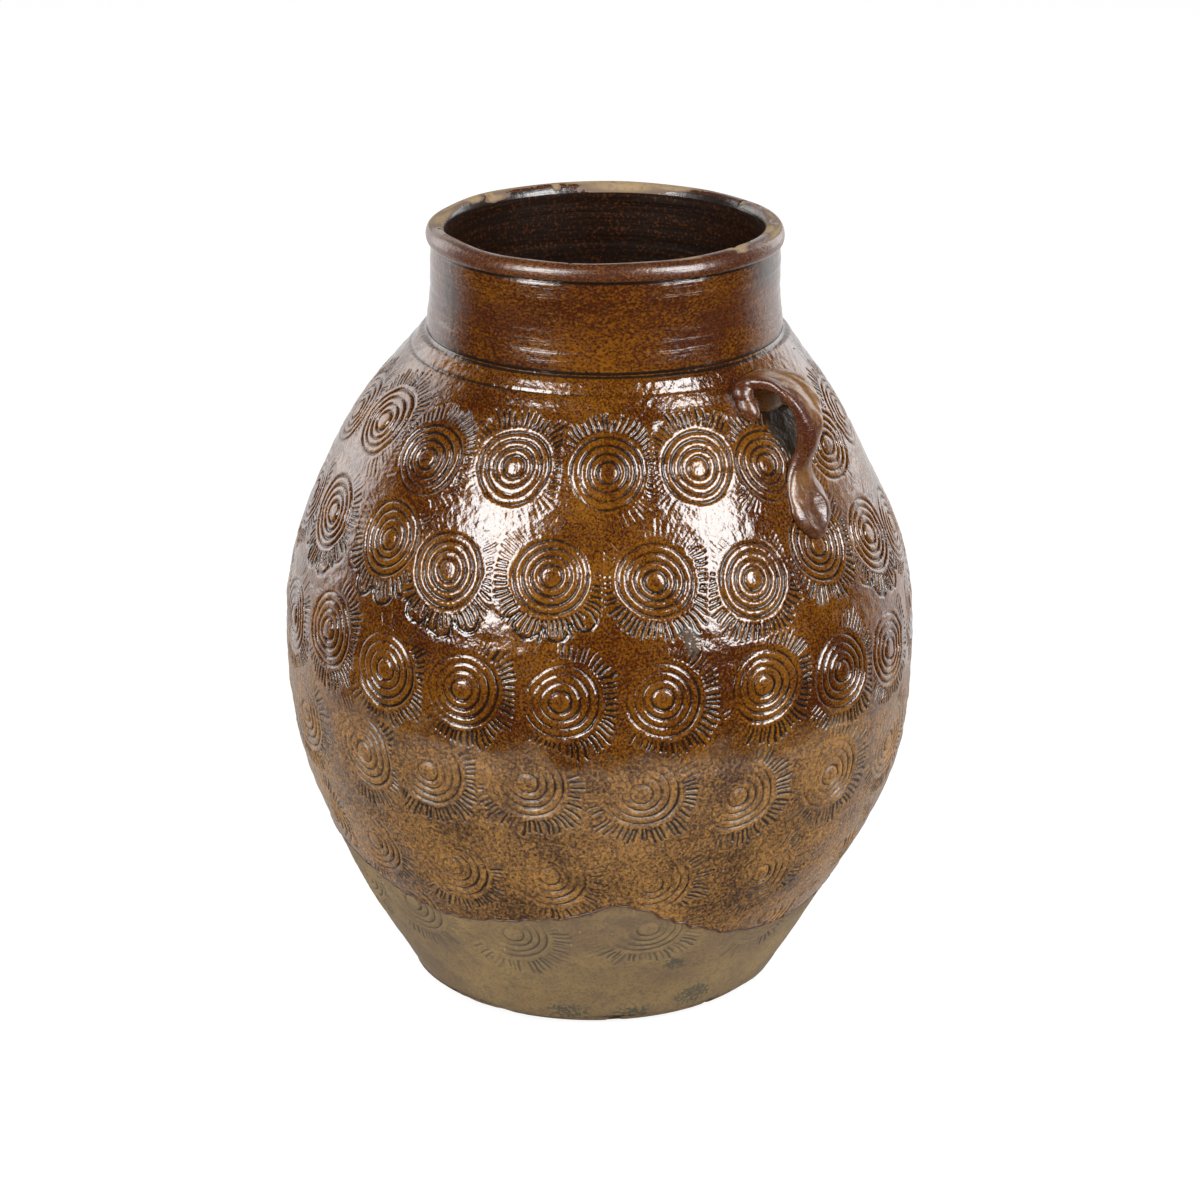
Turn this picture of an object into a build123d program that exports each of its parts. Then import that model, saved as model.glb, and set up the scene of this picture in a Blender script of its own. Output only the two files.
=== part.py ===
from build123d import *
import os

# Martaban jar: a coil-built stoneware storage jar with two strap ears.
# The wall is raised in bands that are luted to each other at stepped laps,
# on a disc base, and it carries a collar, a rolled lip and two luted ears.
# Origin: middle of the resting face. +Z runs up the jar's axis.
# +X runs through the near ear, and the far ear is on the other side.
# Outlines are drawn with x as the radius and y as the height, in millimetres.

# Body, from the resting face to the root of the neck
body_height = 446.0
belly_height = 233.0
foot_radius = 117.0
foot_rounding = 12.0
belly_radius = 208.5
wall_thickness = 10.0
base_thickness = 14.0
lap_length = 12.0

# Neck and rolled lip
mouth_radius = 103.0
neck_height = 57.0
neck_wall = 10.5
neck_taper = 3.0
neck_lap_length = 6.0
rim_height = 11.5
rim_overhang = 2.4
rim_lap_length = 4.0

# Ears: the room between loop and wall, and drops below the root of the neck
near_ear_gap = 12.5
far_ear_gap = 9.5
far_ear_degrees = 168.0
root_drop = 21.0
crown_drop = 2.0
elbow_drop = 48.0
tail_drop = 84.0
loop_bend_radius = 20.0
loop_end_depth = 15.0
strap_width = 34.0
strap_thickness = 11.0

# Pads of clay that join a loop's ends to the shoulder
root_width = 56.0
root_length = 38.0
root_stand = 7.0
tail_width = 44.0
tail_length = 44.0
tail_stand = 8.0
thumb_radius = 24.0
thumb_depth = 5.0
pad_depth = 9.0
pad_rounding = 3.0

# Cutting tools run past the clay by this much
overrun = 4.0

# Places on the wall between foot and belly: share of the height, share of the widening
lower_outline_shares = ((0.23, 0.35), (0.49, 0.705), (0.75, 0.93))
# Places on the wall between belly and neck: share of the height, share of the narrowing
upper_outline_shares = ((0.28, 0.085), (0.56, 0.33), (0.79, 0.61), (0.93, 0.88))
# Places along the wall where the inside follows the outside
inner_wall_shares = (0.12, 0.24, 0.37, 0.50, 0.63, 0.76, 0.88)
# Places along the wall where one band of clay ends and the next begins
lower_lap_share = 0.32
upper_lap_share = 0.66
# Rounding of the lip's outer and inner edge: share of the lip's width
rim_outer_rounding_share = 0.45
rim_inner_rounding_share = 0.39
# A pad's outer face: share of its width and length
pad_face_share = 0.78
# Stations along the loop: share of its length, share of the strap's width
strap_shares = ((0.0, 1.0), (0.2, 0.98), (0.38, 0.86), (0.52, 0.62), (0.68, 0.46), (0.84, 0.47), (1.0, 0.6))

# Sizes that follow
neck_top_radius = mouth_radius + neck_wall
neck_root_radius = neck_top_radius + neck_taper
neck_top_height = body_height + neck_height
rim_radius = neck_top_radius + rim_overhang
rim_width = rim_radius - mouth_radius
jar_height = neck_top_height + rim_height
far_edge = belly_radius + overrun


# Lines of the wall
def outer_points():
    """Places on the outside of the body, from the foot's corner to the neck's root."""
    widening = belly_radius - foot_radius
    narrowing = belly_radius - neck_root_radius
    shoulder_rise = body_height - belly_height
    lower = [(foot_radius + r * widening, h * belly_height) for h, r in lower_outline_shares]
    upper = [(belly_radius - r * narrowing, belly_height + h * shoulder_rise) for h, r in upper_outline_shares]
    return [(foot_radius, 0), *lower, (belly_radius, belly_height), *upper, (neck_root_radius, body_height)]


with BuildLine() as wall_line:
    Spline(*outer_points())
outer_curve = wall_line.edge()


def wall_frame(share):
    """Point, upward direction and outward direction at a share of the wall's length."""
    point = outer_curve @ share
    up = outer_curve % share
    return point, up, Vector(up.Y, -up.X)


def inner_points():
    """Places on the inside of the wall, from the floor's corner to the mouth's lower edge."""
    foot, up, out = wall_frame(0)
    floor_widening = base_thickness * up.X / up.Y
    points = [(foot.X + floor_widening - wall_thickness / out.X, base_thickness)]
    for share in inner_wall_shares:
        point, up, out = wall_frame(share)
        inside = point - out * wall_thickness
        points.append((inside.X, inside.Y))
    return [*points, (mouth_radius, body_height)]


def corner(sketch, radius, height):
    """The corner of a sketch that lies nearest to a place."""
    return sketch.vertices().sort_by_distance((radius, height, 0))[0]


# Half section of the whole jar
with BuildSketch() as jar_section:
    with BuildLine():
        Polyline((0, base_thickness), (0, 0), (foot_radius, 0))
        add(outer_curve)
        Polyline(
            (neck_root_radius, body_height),
            (neck_top_radius, neck_top_height),
            (rim_radius, neck_top_height),
            (rim_radius, jar_height),
            (mouth_radius, jar_height),
            (mouth_radius, body_height),
        )
        Spline(*inner_points())
        Line(inner_points()[0], (0, base_thickness))
    make_face()
    fillet(corner(jar_section, foot_radius, 0), foot_rounding)
    fillet(corner(jar_section, rim_radius, jar_height), rim_width * rim_outer_rounding_share)
    fillet(corner(jar_section, mouth_radius, jar_height), rim_width * rim_inner_rounding_share)

# The body as if it were full, which the ears are fitted to
with BuildPart() as full_body:
    with BuildSketch(Plane.XZ):
        with BuildLine():
            Line((0, 0), (foot_radius, 0))
            add(outer_curve)
            Polyline((neck_root_radius, body_height), (0, body_height), (0, 0))
        make_face()
    revolve(axis=Axis.Z)


# Laps between the bands of clay, each drawn from outside the jar to its axis
def wall_lap(share):
    """A stepped lap across the sloping wall."""
    point, up, out = wall_frame(share)
    half_lap = up * (lap_length / 2)
    start = point + out * overrun - half_lap
    outer_step = point - out * (wall_thickness / 2) - half_lap
    inner_step = outer_step + half_lap * 2
    end = point - out * (wall_thickness + overrun) + half_lap
    steps = [(place.X, place.Y) for place in (start, outer_step, inner_step, end)]
    return [(far_edge, start.Y), *steps, (0, end.Y)]


def level_lap(height, rise, step_radius):
    """A lap with level faces and an upright step."""
    return [(far_edge, height), (step_radius, height), (step_radius, height + rise), (0, height + rise)]


below_jar = [(far_edge, -overrun), (0, -overrun)]
base_lap = level_lap(base_thickness / 2, base_thickness / 2, foot_radius - wall_thickness / 2)
lower_lap = wall_lap(lower_lap_share)
upper_lap = wall_lap(upper_lap_share)
neck_lap = level_lap(body_height, neck_lap_length, (mouth_radius + neck_root_radius) / 2)
rim_lap = level_lap(neck_top_height, rim_lap_length, (mouth_radius + neck_top_radius) / 2)
above_jar = [(far_edge, jar_height + overrun), (0, jar_height + overrun)]


def clay_band(lower_edge, upper_edge):
    """The part of the jar's wall between two laps."""
    with BuildPart() as band:
        with BuildSketch(Plane.XZ):
            add(jar_section.sketch)
            with BuildLine():
                Polyline(*lower_edge, *reversed(upper_edge), close=True)
            make_face(mode=Mode.INTERSECT)
        revolve(axis=Axis.Z)
    return band


# Ears, made on +X and turned to their places at the end
def wall_plane(height):
    """A plane that touches the body at a height on +X, its normal pointing out of the clay."""
    level = Edge.make_line((0, height), (far_edge, height))
    crossing = outer_curve.find_intersection_points(level)[0]
    point, up, out = wall_frame(outer_curve.param_at_point(crossing))
    return Plane(origin=(point.X, 0, point.Y), x_dir=(0, 1, 0), z_dir=(out.X, 0, out.Y))


root_plane = wall_plane(body_height - root_drop)
elbow_plane = wall_plane(body_height - elbow_drop)
tail_plane = wall_plane(body_height - tail_drop)


def flared_pad(plane, width, length, stand):
    """A pad of clay that flares onto the wall and has a rounded outer face."""
    with BuildPart() as pad:
        with BuildSketch(plane.offset(-pad_depth)):
            Ellipse(width / 2, length / 2)
        with BuildSketch(plane.offset(stand)):
            Ellipse(width / 2 * pad_face_share, length / 2 * pad_face_share)
        loft()
        fillet(pad.faces().sort_by(Axis(plane.origin, plane.z_dir))[-1].edges(), pad_rounding)
        add(full_body.part, mode=Mode.SUBTRACT)
    return pad


# The pad under a loop's upper end
ear_root = flared_pad(root_plane, root_width, root_length, root_stand)

# The pad under a loop's lower end, hollowed by the potter's thumb
tail_pad = flared_pad(tail_plane, tail_width, tail_length, tail_stand)
with BuildPart() as thumb_hollow:
    with Locations(tail_plane.offset(tail_stand - thumb_depth + thumb_radius)):
        Sphere(thumb_radius)
with BuildPart() as ear_tail:
    add(tail_pad.part)
    add(thumb_hollow.part, mode=Mode.SUBTRACT)


def ear_strap(gap):
    """The loop from the root pad over the crown and down to the tail pad."""
    root_end = root_plane.origin - root_plane.z_dir * loop_end_depth
    tail_end = tail_plane.origin - tail_plane.z_dir * loop_end_depth
    reach = elbow_plane.origin.X + gap + strap_thickness / 2
    with BuildLine() as loop_line:
        FilletPolyline(
            root_end,
            (reach, 0, body_height - crown_drop),
            (reach, 0, body_height - elbow_drop),
            tail_end,
            radius=loop_bend_radius,
        )
    loop = loop_line.wire()
    with BuildPart() as strap:
        for station, width_share in strap_shares:
            with BuildSketch(Plane(origin=loop @ station, x_dir=(0, 1, 0), z_dir=loop % station)):
                Ellipse(strap_width / 2 * width_share, strap_thickness / 2)
        loft()
        for neighbour in (full_body, ear_root, tail_pad):
            add(neighbour.part, mode=Mode.SUBTRACT)
    return strap


# The walls, from the resting face up
base_disc = clay_band(below_jar, base_lap)
lower_wall = clay_band(base_lap, lower_lap)
belly_wall = clay_band(lower_lap, upper_lap)
shoulder_wall = clay_band(upper_lap, neck_lap)
neck_collar = clay_band(neck_lap, rim_lap)
rim_roll = clay_band(rim_lap, above_jar)

pieces = {
    "base_disc": base_disc.part,
    "lower_wall": lower_wall.part,
    "belly_wall": belly_wall.part,
    "shoulder_wall": shoulder_wall.part,
    "neck_collar": neck_collar.part,
    "rim_roll": rim_roll.part,
}
for side, turn, gap in (("near", 0, near_ear_gap), ("far", far_ear_degrees, far_ear_gap)):
    pieces[f"{side}_ear_root"] = ear_root.part.rotate(Axis.Z, turn)
    pieces[f"{side}_ear_tail"] = ear_tail.part.rotate(Axis.Z, turn)
    pieces[f"{side}_ear_strap"] = ear_strap(gap).part.rotate(Axis.Z, turn)

os.makedirs("parts", exist_ok=True)
for name, piece in pieces.items():
    piece.label = name
    export_step(piece, f"parts/{name}.step")
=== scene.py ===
"""Dressed model of a stamped martaban jar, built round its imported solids.

Sizes are in millimetres until a mesh is made, and angles are in degrees. The jar
stands on the origin, +Z runs up its axis and +X runs through the near ear. A turn
of 0 points to -Y, and turns grow to the right as seen from outside the wall.
"""
import logging
import math
from dataclasses import dataclass, field
from enum import Enum

import bpy
import numpy as np
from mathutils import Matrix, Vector


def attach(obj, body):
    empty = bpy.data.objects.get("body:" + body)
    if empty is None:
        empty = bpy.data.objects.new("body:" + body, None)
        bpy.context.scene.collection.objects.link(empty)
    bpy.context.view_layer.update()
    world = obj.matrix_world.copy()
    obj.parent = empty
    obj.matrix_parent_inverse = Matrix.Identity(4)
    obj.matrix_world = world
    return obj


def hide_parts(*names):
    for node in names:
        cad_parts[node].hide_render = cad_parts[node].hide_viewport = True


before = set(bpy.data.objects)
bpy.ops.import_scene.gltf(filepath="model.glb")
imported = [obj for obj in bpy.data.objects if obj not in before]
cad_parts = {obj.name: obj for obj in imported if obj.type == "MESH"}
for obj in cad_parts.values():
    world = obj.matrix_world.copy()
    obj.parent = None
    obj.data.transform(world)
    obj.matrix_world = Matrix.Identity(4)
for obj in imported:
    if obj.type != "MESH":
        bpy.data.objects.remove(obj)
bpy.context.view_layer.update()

MM = 0.001
BODY = "root"
GLAZED_SLOT = "amber_glaze"
CLAY_SLOT = "bare_clay"
UV_NAME = "OFBake"
VIEW_TURN = 40.0
# How far the outside stands back from the solids, at the neck's root and at its top
LAP_SINK = 0.9
NECK_WALL_INSET = 0.6

log = logging.getLogger("jar")
Array = np.ndarray
Pair = tuple[float, float]
Colour = tuple[float, float, float, float]
Spot = tuple[float, float, float, float]
Triple = tuple[float, float, float]
Lump = tuple[Triple, Triple, float]
Faces = list[list[int]]
Piece = bpy.types.Object
Material = bpy.types.Material
FLOAT = "NodeSocketFloat"
GEOMETRY = "NodeSocketGeometry"


# Small helpers
def tone(red: int, green: int, blue: int) -> Colour:
    """A colour as it looks on a screen, turned into the linear values that shaders use.

    Args:
        red, green, blue: screen values from 0 to 255.

    Returns:
        Linear red, green, blue and an alpha of 1.
    """
    shares = [value / 255 for value in (red, green, blue)]
    linear = [s / 12.92 if s <= 0.04045 else ((s + 0.055) / 1.055) ** 2.4 for s in shares]
    return (*linear, 1.0)


def smooth_step(value: Array, low: float, high: float) -> Array:
    """Rises smoothly from 0 at low to 1 at high."""
    share = np.clip((value - low) / (high - low), 0, 1)
    return share * share * (3 - 2 * share)


def bell(value: Array, width: float = 1.0) -> Array:
    """A bell curve over a value, 1 in its middle."""
    return np.exp(-0.5 * (value / width) ** 2)


def trough(value: Array, half_width: float) -> Array:
    """Depth across a rounded trough: 1 in its middle, 0 from its half width on."""
    return np.clip(1 - (value / half_width) ** 2, 0, 1)


def degrees_from(turn: float, turns: Array) -> Array:
    """Degrees from one turn to others, the short way round."""
    return (turns - turn + 180) % 360 - 180


def even_turns(columns: int) -> Array:
    """Turns of columns that stand evenly round the jar."""
    return np.arange(columns) * 360 / columns


def run_along(points: Array) -> Array:
    """Distance along a line to each of its points."""
    return np.concatenate([[0], np.cumsum(np.hypot(*np.diff(points, axis=0).T))])


def spline_values(knots: Array, values: Array, places: Array) -> Array:
    """Natural cubic spline through values at knots.

    Args:
        knots: rising positions of the values.
        values: one value, or one row of values, per knot.
        places: positions to evaluate.

    Returns:
        The values at the places.
    """
    knots, values = np.asarray(knots, float), np.asarray(values, float)
    count = len(knots)
    steps = np.diff(knots)
    slopes = np.diff(values, axis=0) / (steps if values.ndim == 1 else steps[:, None])
    system = np.eye(count)
    right = np.zeros_like(values)
    for i in range(1, count - 1):
        system[i, i - 1: i + 2] = steps[i - 1], 2 * (steps[i - 1] + steps[i]), steps[i]
        right[i] = 6 * (slopes[i] - slopes[i - 1])
    bends = np.linalg.solve(system, right)
    i = np.clip(np.searchsorted(knots, places) - 1, 0, count - 2)
    step = steps[i]
    ahead, behind = (knots[i + 1] - places) / step, (places - knots[i]) / step
    if values.ndim > 1:
        ahead, behind, step = ahead[:, None], behind[:, None], step[:, None]
    curve = (ahead ** 3 - ahead) * bends[i] + (behind ** 3 - behind) * bends[i + 1]
    return ahead * values[i] + behind * values[i + 1] + curve * step ** 2 / 6


def round_wave(turns: Array, control: tuple[Pair, ...]) -> Array:
    """A smooth height that goes once round the jar through control places.

    Args:
        turns: turns to evaluate, in degrees.
        control: pairs of turn and height, with rising turns within one round.

    Returns:
        The height at each turn.
    """
    places = np.array(control)
    wrapped = np.vstack([places[-3:] - (360, 0), places, places[:3] + (360, 0)])
    start = places[0, 0]
    return spline_values(wrapped[:, 0], wrapped[:, 1], (turns - start) % 360 + start)


@dataclass(frozen=True)
class Bumps:
    """Even random bumps over a surface that closes on itself round the jar.

    Attributes:
        spread: how far they stand out and in, about.
        wide, tall: bump size round the jar and up the wall.
        radius: radius at which the size holds.
        seed: seed of the random draw.
        waves: how many plane waves are summed.
    """

    spread: float
    wide: float
    tall: float
    radius: float
    seed: int
    waves: int = 48

    def over(self, turns: Array, rises: Array) -> Array:
        """The bumps by row and column, from each row's distance along the wall and each column's turn."""
        draw = np.random.default_rng(self.seed)
        slant = draw.uniform(0, math.pi, self.waves)
        pace = draw.uniform(0.6, 1.4, self.waves)
        round_count = np.round(2 * math.pi * self.radius / (2 * self.wide) * np.cos(slant) * pace)
        up_pace = math.pi / self.tall * np.sin(slant) * pace
        phase = draw.uniform(0, 2 * math.pi, self.waves)
        across = np.radians(turns)[None, :] * round_count[:, None]
        upward = rises[:, None] * up_pace[None, :] + phase[None, :]
        total = np.cos(upward) @ np.cos(across) - np.sin(upward) @ np.sin(across)
        return self.spread * (total * math.sqrt(2 / self.waves))


# The outline
@dataclass(frozen=True)
class JarSizes:
    """Sizes of the jar, as the part's source names them."""

    body_height: float = 446.0
    belly_height: float = 233.0
    foot_radius: float = 117.0
    belly_radius: float = 208.5
    wall_thickness: float = 10.0
    base_thickness: float = 14.0
    mouth_radius: float = 103.0
    neck_root_radius: float = 116.5
    neck_top_radius: float = 113.5
    neck_top_height: float = 503.0
    rim_radius: float = 115.9
    jar_height: float = 514.5
    lower_lap_height: float = 138.0
    upper_lap_height: float = 302.0
    lower_shares: tuple[Pair, ...] = ((0.23, 0.35), (0.49, 0.705), (0.75, 0.93))
    upper_shares: tuple[Pair, ...] = ((0.28, 0.085), (0.56, 0.33), (0.79, 0.61), (0.93, 0.88))
    inner_shares: tuple[float, ...] = (0.12, 0.24, 0.37, 0.50, 0.63, 0.76, 0.88)

    def outer_places(self) -> list[Pair]:
        """Radius and height of the places that the outside goes through."""
        widening = self.belly_radius - self.foot_radius
        narrowing = self.belly_radius - self.neck_root_radius
        rise = self.body_height - self.belly_height
        lower = [(self.foot_radius + r * widening, h * self.belly_height) for h, r in self.lower_shares]
        upper = [(self.belly_radius - r * narrowing, self.belly_height + h * rise)
                 for h, r in self.upper_shares]
        belly = (self.belly_radius, self.belly_height)
        return [(self.foot_radius, 0), *lower, belly, *upper, (self.neck_root_radius, self.body_height)]


class Outline:
    """A smooth line of radius and height, measured along its length."""

    samples = 4000

    def __init__(self, places: list[Pair]) -> None:
        """Draws the line through places, from the bottom up."""
        points = np.array(places, float)
        knots = run_along(points)
        self.line = spline_values(knots, points, np.linspace(0, knots[-1], self.samples))
        self.run = run_along(self.line)
        self.length = self.run[-1]
        slope = np.gradient(self.line, self.run, axis=0)
        self.out = np.stack([slope[:, 1], -slope[:, 0]], axis=1)

    def at(self, distance: Array) -> tuple[Array, Array, Array, Array]:
        """Radius, height, and the outward direction's radius and height, at distances along the line."""
        columns = (self.line[:, 0], self.line[:, 1], self.out[:, 0], self.out[:, 1])
        return tuple(np.interp(distance, self.run, column) for column in columns)

    def reach(self, height: Array) -> Array:
        """Distance along the line to a height."""
        return np.interp(height, self.line[:, 1], self.run)

    def radius(self, height: Array) -> Array:
        """Radius at a height."""
        return np.interp(height, self.line[:, 1], self.line[:, 0])


SIZES = JarSizes()
OUTSIDE = Outline(SIZES.outer_places())


def inner_outline() -> Outline:
    """The inside of the wall, from the floor's corner to the mouth's lower edge."""
    places = []
    for share in SIZES.inner_shares:
        radius, height, out_r, out_h = OUTSIDE.at(share * OUTSIDE.length)
        places.append((radius - out_r * SIZES.wall_thickness, height - out_h * SIZES.wall_thickness))
    radius, height, out_r, out_h = OUTSIDE.at(0.0)
    corner = radius - out_h / out_r * SIZES.base_thickness - SIZES.wall_thickness / out_r
    return Outline([(corner, SIZES.base_thickness), *places, (SIZES.mouth_radius, SIZES.body_height)])


INSIDE = inner_outline()


@dataclass(frozen=True)
class Lean:
    """How far the potter's jar stands off its axis, towards the right of the photographed side."""

    heights: tuple[float, ...] = (0, 54, 102, 144, 230, 311, 353, 389, 413, 437, 515)
    shifts: tuple[float, ...] = (-4.6, -3.0, -0.6, 0.9, 0.2, -0.7, -1.4, -0.4, 1.3, 2.7, 3.4)
    tilt_start: float = 450.0
    tilt_end: float = 510.0
    tilt: float = 0.0175

    def at(self, height: Array) -> Array:
        """Sideways shift at heights."""
        flat = np.ravel(np.clip(height, self.heights[0], self.heights[-1]))
        return spline_values(self.heights, self.shifts, flat).reshape(np.shape(height))

    def lift(self, turns: Array, radius: Array, height: Array) -> Array:
        """How far the neck's upward tilt lifts each place on the photographed side."""
        share = smooth_step(height, self.tilt_start, self.tilt_end)
        return self.tilt * share * radius * np.cos(np.radians(turns - VIEW_TURN))


LEAN = Lean()


def place(turns: Array, radius: Array, height: Array) -> Array:
    """Points in metres at turns, radii and heights, with the jar's lean.

    Args:
        turns: turns round the axis, in degrees.
        radius: distance from the axis.
        height: height over the resting face.

    Returns:
        An array with a last axis of x, y and z.
    """
    turns, radius, height = np.broadcast_arrays(turns, radius, height)
    angle, view = np.radians(turns), math.radians(VIEW_TURN)
    shift = LEAN.at(height)
    x = radius * np.sin(angle) + shift * math.cos(view)
    y = -radius * np.cos(angle) + shift * math.sin(view)
    return np.stack([x, y, height + LEAN.lift(turns, radius, height)], axis=-1) * MM


# The stamps
class Fan(Enum):
    """Which way a stamp's ring of strokes was pressed deepest."""

    ALL_ROUND = 80.0
    DOWNWARD = -85.0
    DOWN_RIGHT = -48.0
    RIGHT = -30.0


@dataclass(frozen=True)
class StampRow:
    """One round of stamps: those on the photographed side by place, the others by rule.

    Attributes:
        shown: turn and height of each stamp on the photographed side.
        spacing: degrees from one stamp to the next on the other side.
        fan: which way the strokes were pressed deepest.
        uneven: 0 for stamps pressed level, 1 for stamps that fade out on one side.
        depth: depth of the grooves.
        strokes: how strongly the ring of strokes shows.
        scalloped: which of the shown stamps have a scalloped outline round their lower strokes.
        seed: seed of the random draw.
    """

    shown: tuple[Pair, ...]
    spacing: float
    fan: Fan
    uneven: float
    depth: float
    strokes: float
    scalloped: tuple[int, ...]
    seed: int

    def stamps(self) -> list["Stamp"]:
        """All stamps of the round, the hidden ones evenly spread with some scatter."""
        draw = np.random.default_rng(self.seed)
        heights = [height for _, height in self.shown]
        first, last = self.shown[0][0], self.shown[-1][0]
        room = first + 360 - last
        count = max(round(room / self.spacing), 1)
        hidden = [
            (last + room * (i + draw.uniform(-0.12, 0.12)) / count, np.mean(heights) + draw.uniform(-6, 6))
            for i in range(1, count)
        ]
        edged = [i in self.scalloped for i in range(len(self.shown))]
        edged += [bool(self.scalloped) and i % 3 == 0 for i in range(len(hidden))]
        places = [*self.shown, *hidden]
        return [Stamp(self, turn, height, edge, *draw.uniform(0, 1, 5))
                for (turn, height), edge in zip(places, edged)]


@dataclass(frozen=True)
class Stamp:
    """One press of the carved stamp: its place, and how the hand held it."""

    row: StampRow
    turn: float
    height: float
    scalloped: bool
    twist: float
    oval: float
    firmness: float
    swing: float
    drift: float
    drift_size: float = 1.3
    reach: float = 42.0

    def local(self, across: Array, upward: Array, edge: float) -> tuple[Array, Array]:
        """Distance and angle from the stamp's middle, with the hand's slight oval and slip."""
        share = np.clip(np.hypot(across, upward) / edge, 0, 1) * self.drift_size
        across = across + share * math.cos(2 * math.pi * self.drift)
        upward = upward + share * math.sin(2 * math.pi * self.drift)
        angle = np.arctan2(upward, across)
        wobble = 1 + 0.022 * np.sin(2 * angle + 6 * self.oval) + 0.01 * np.sin(3 * angle + 9 * self.twist)
        return np.hypot(across, upward) * wobble, angle

    def firm(self, distance: Array, angle: Array) -> Array:
        """How deep the rings were pressed at each place, from 0 to 1."""
        lead = math.radians(self.row.fan.value + 36 * (self.swing - 0.5))
        lift = 0.5 * (1 - np.cos(angle - lead)) * smooth_step(distance, 0, 16)
        soft = 0.16 * self.row.uneven
        return np.clip(1 - soft - (self.row.uneven + 0.12) * lift * (0.8 + 0.5 * self.firmness), 0, 1)

    def fringe(self, angle: Array) -> Array:
        """How deep the strokes were pressed in each direction, from 0 to 1."""
        lead = math.radians(self.row.fan.value + 50 * (self.swing - 0.5))
        facing = 0.5 * (1 + np.cos(angle - lead))
        patchy = 0.5 + 0.5 * np.sin(3 * angle + 40 * self.drift) * np.sin(2 * angle + 23 * self.oval)
        return self.row.strokes * np.clip(0.2 + 1.15 * facing - (0.3 + 0.45 * self.row.uneven) * patchy, 0, 1)


@dataclass(frozen=True)
class StampFace:
    """The carved face of the stamp: a boss, four rings and a fringe of short strokes.

    The finish reads the same ring and stroke sizes, and draws the fine grooves with them.
    """

    boss_radius: float = 6.2
    boss_rise: float = 0.9
    first_ring: float = 7.1
    ring_pitch: float = 5.4
    groove_half_width: float = 1.25
    ridge_rise: float = 0.24
    disc_radius: float = 25.9
    disc_depth: float = 0.4
    stroke_count: int = 56
    stroke_half_width: float = 1.2
    stroke_depth: float = 0.95
    stroke_start: float = 26.8
    stroke_end: float = 38.5
    lobes: int = 11
    lobe_middle: float = 31.0
    lobe_half_width: float = 8.4
    lobe_half_length: float = 10.6

    def disc(self, distance: Array, firm: Array, depth: Array) -> Array:
        """Relief of the boss and its rings."""
        phase = (distance - self.first_ring) / self.ring_pitch
        apart = np.abs(phase - np.round(phase)) * self.ring_pitch
        rings = (distance > self.first_ring - self.groove_half_width) & (distance < self.disc_radius - 0.4)
        groove = trough(apart, self.groove_half_width) * rings
        crown = np.sin(math.pi * np.clip(phase, 0, 3.4)) ** 2
        boss = np.sqrt(np.clip(1 - (distance / self.boss_radius) ** 2, 0, 1))
        cover = 1 - smooth_step(distance, self.disc_radius - 1.0, self.disc_radius + 1.2)
        relief = firm * (self.ridge_rise * crown - depth * groove - self.disc_depth + self.boss_rise * boss)
        return relief * cover

    def uneven(self, angle: Array, press: Array) -> tuple[Array, Array, Array]:
        """Each stroke's own strength, length and slip, by its place in the ring and its stamp."""
        index = np.round(angle * self.stroke_count / (2 * math.pi)) % self.stroke_count
        scatter = [np.sin(index * pace + press * 78.2) * 43758.5 % 1 for pace in (12.99, 39.35, 73.16)]
        petal = np.abs(np.sin(math.pi * (index + 0.5) / 5 + 7 * press))
        return 0.35 + 0.65 * scatter[0] ** 0.6, 3.2 * petal + 4.0 * (scatter[1] - 0.5), scatter[2] - 0.5

    def ends(self, distance: Array, growth: Array, patch: Array) -> Array:
        """Where the strokes run: from the disc's edge to their own ragged ends."""
        length = self.stroke_end - 1.6 + growth + 1.2 * patch
        start = self.stroke_start + 0.25 * growth
        begun = smooth_step(distance, start - 0.6, start + 0.6)
        return begun * (1 - smooth_step(distance, length - 1.6, length))

    def strokes(self, distance: Array, angle: Array) -> Array:
        """Groove mask of the strokes."""
        phase = angle * self.stroke_count / (2 * math.pi)
        apart = np.abs(phase - np.round(phase)) * 2 * math.pi * distance / self.stroke_count
        return trough(apart, self.stroke_half_width)

    def scallops(self, distance: Array, angle: Array) -> Array:
        """Groove mask of the scalloped outline round the strokes."""
        span = 2 * math.pi / self.lobes
        sway = (angle - np.round(angle / span) * span) * (0.35 * distance + 0.65 * self.lobe_middle)
        oval = np.hypot(sway / self.lobe_half_width, (distance - self.lobe_middle) / self.lobe_half_length)
        return np.clip(1 - ((oval - 1) * 8 / 1.2) ** 2, 0, 1) * smooth_step(distance, 29, 33)


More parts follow.
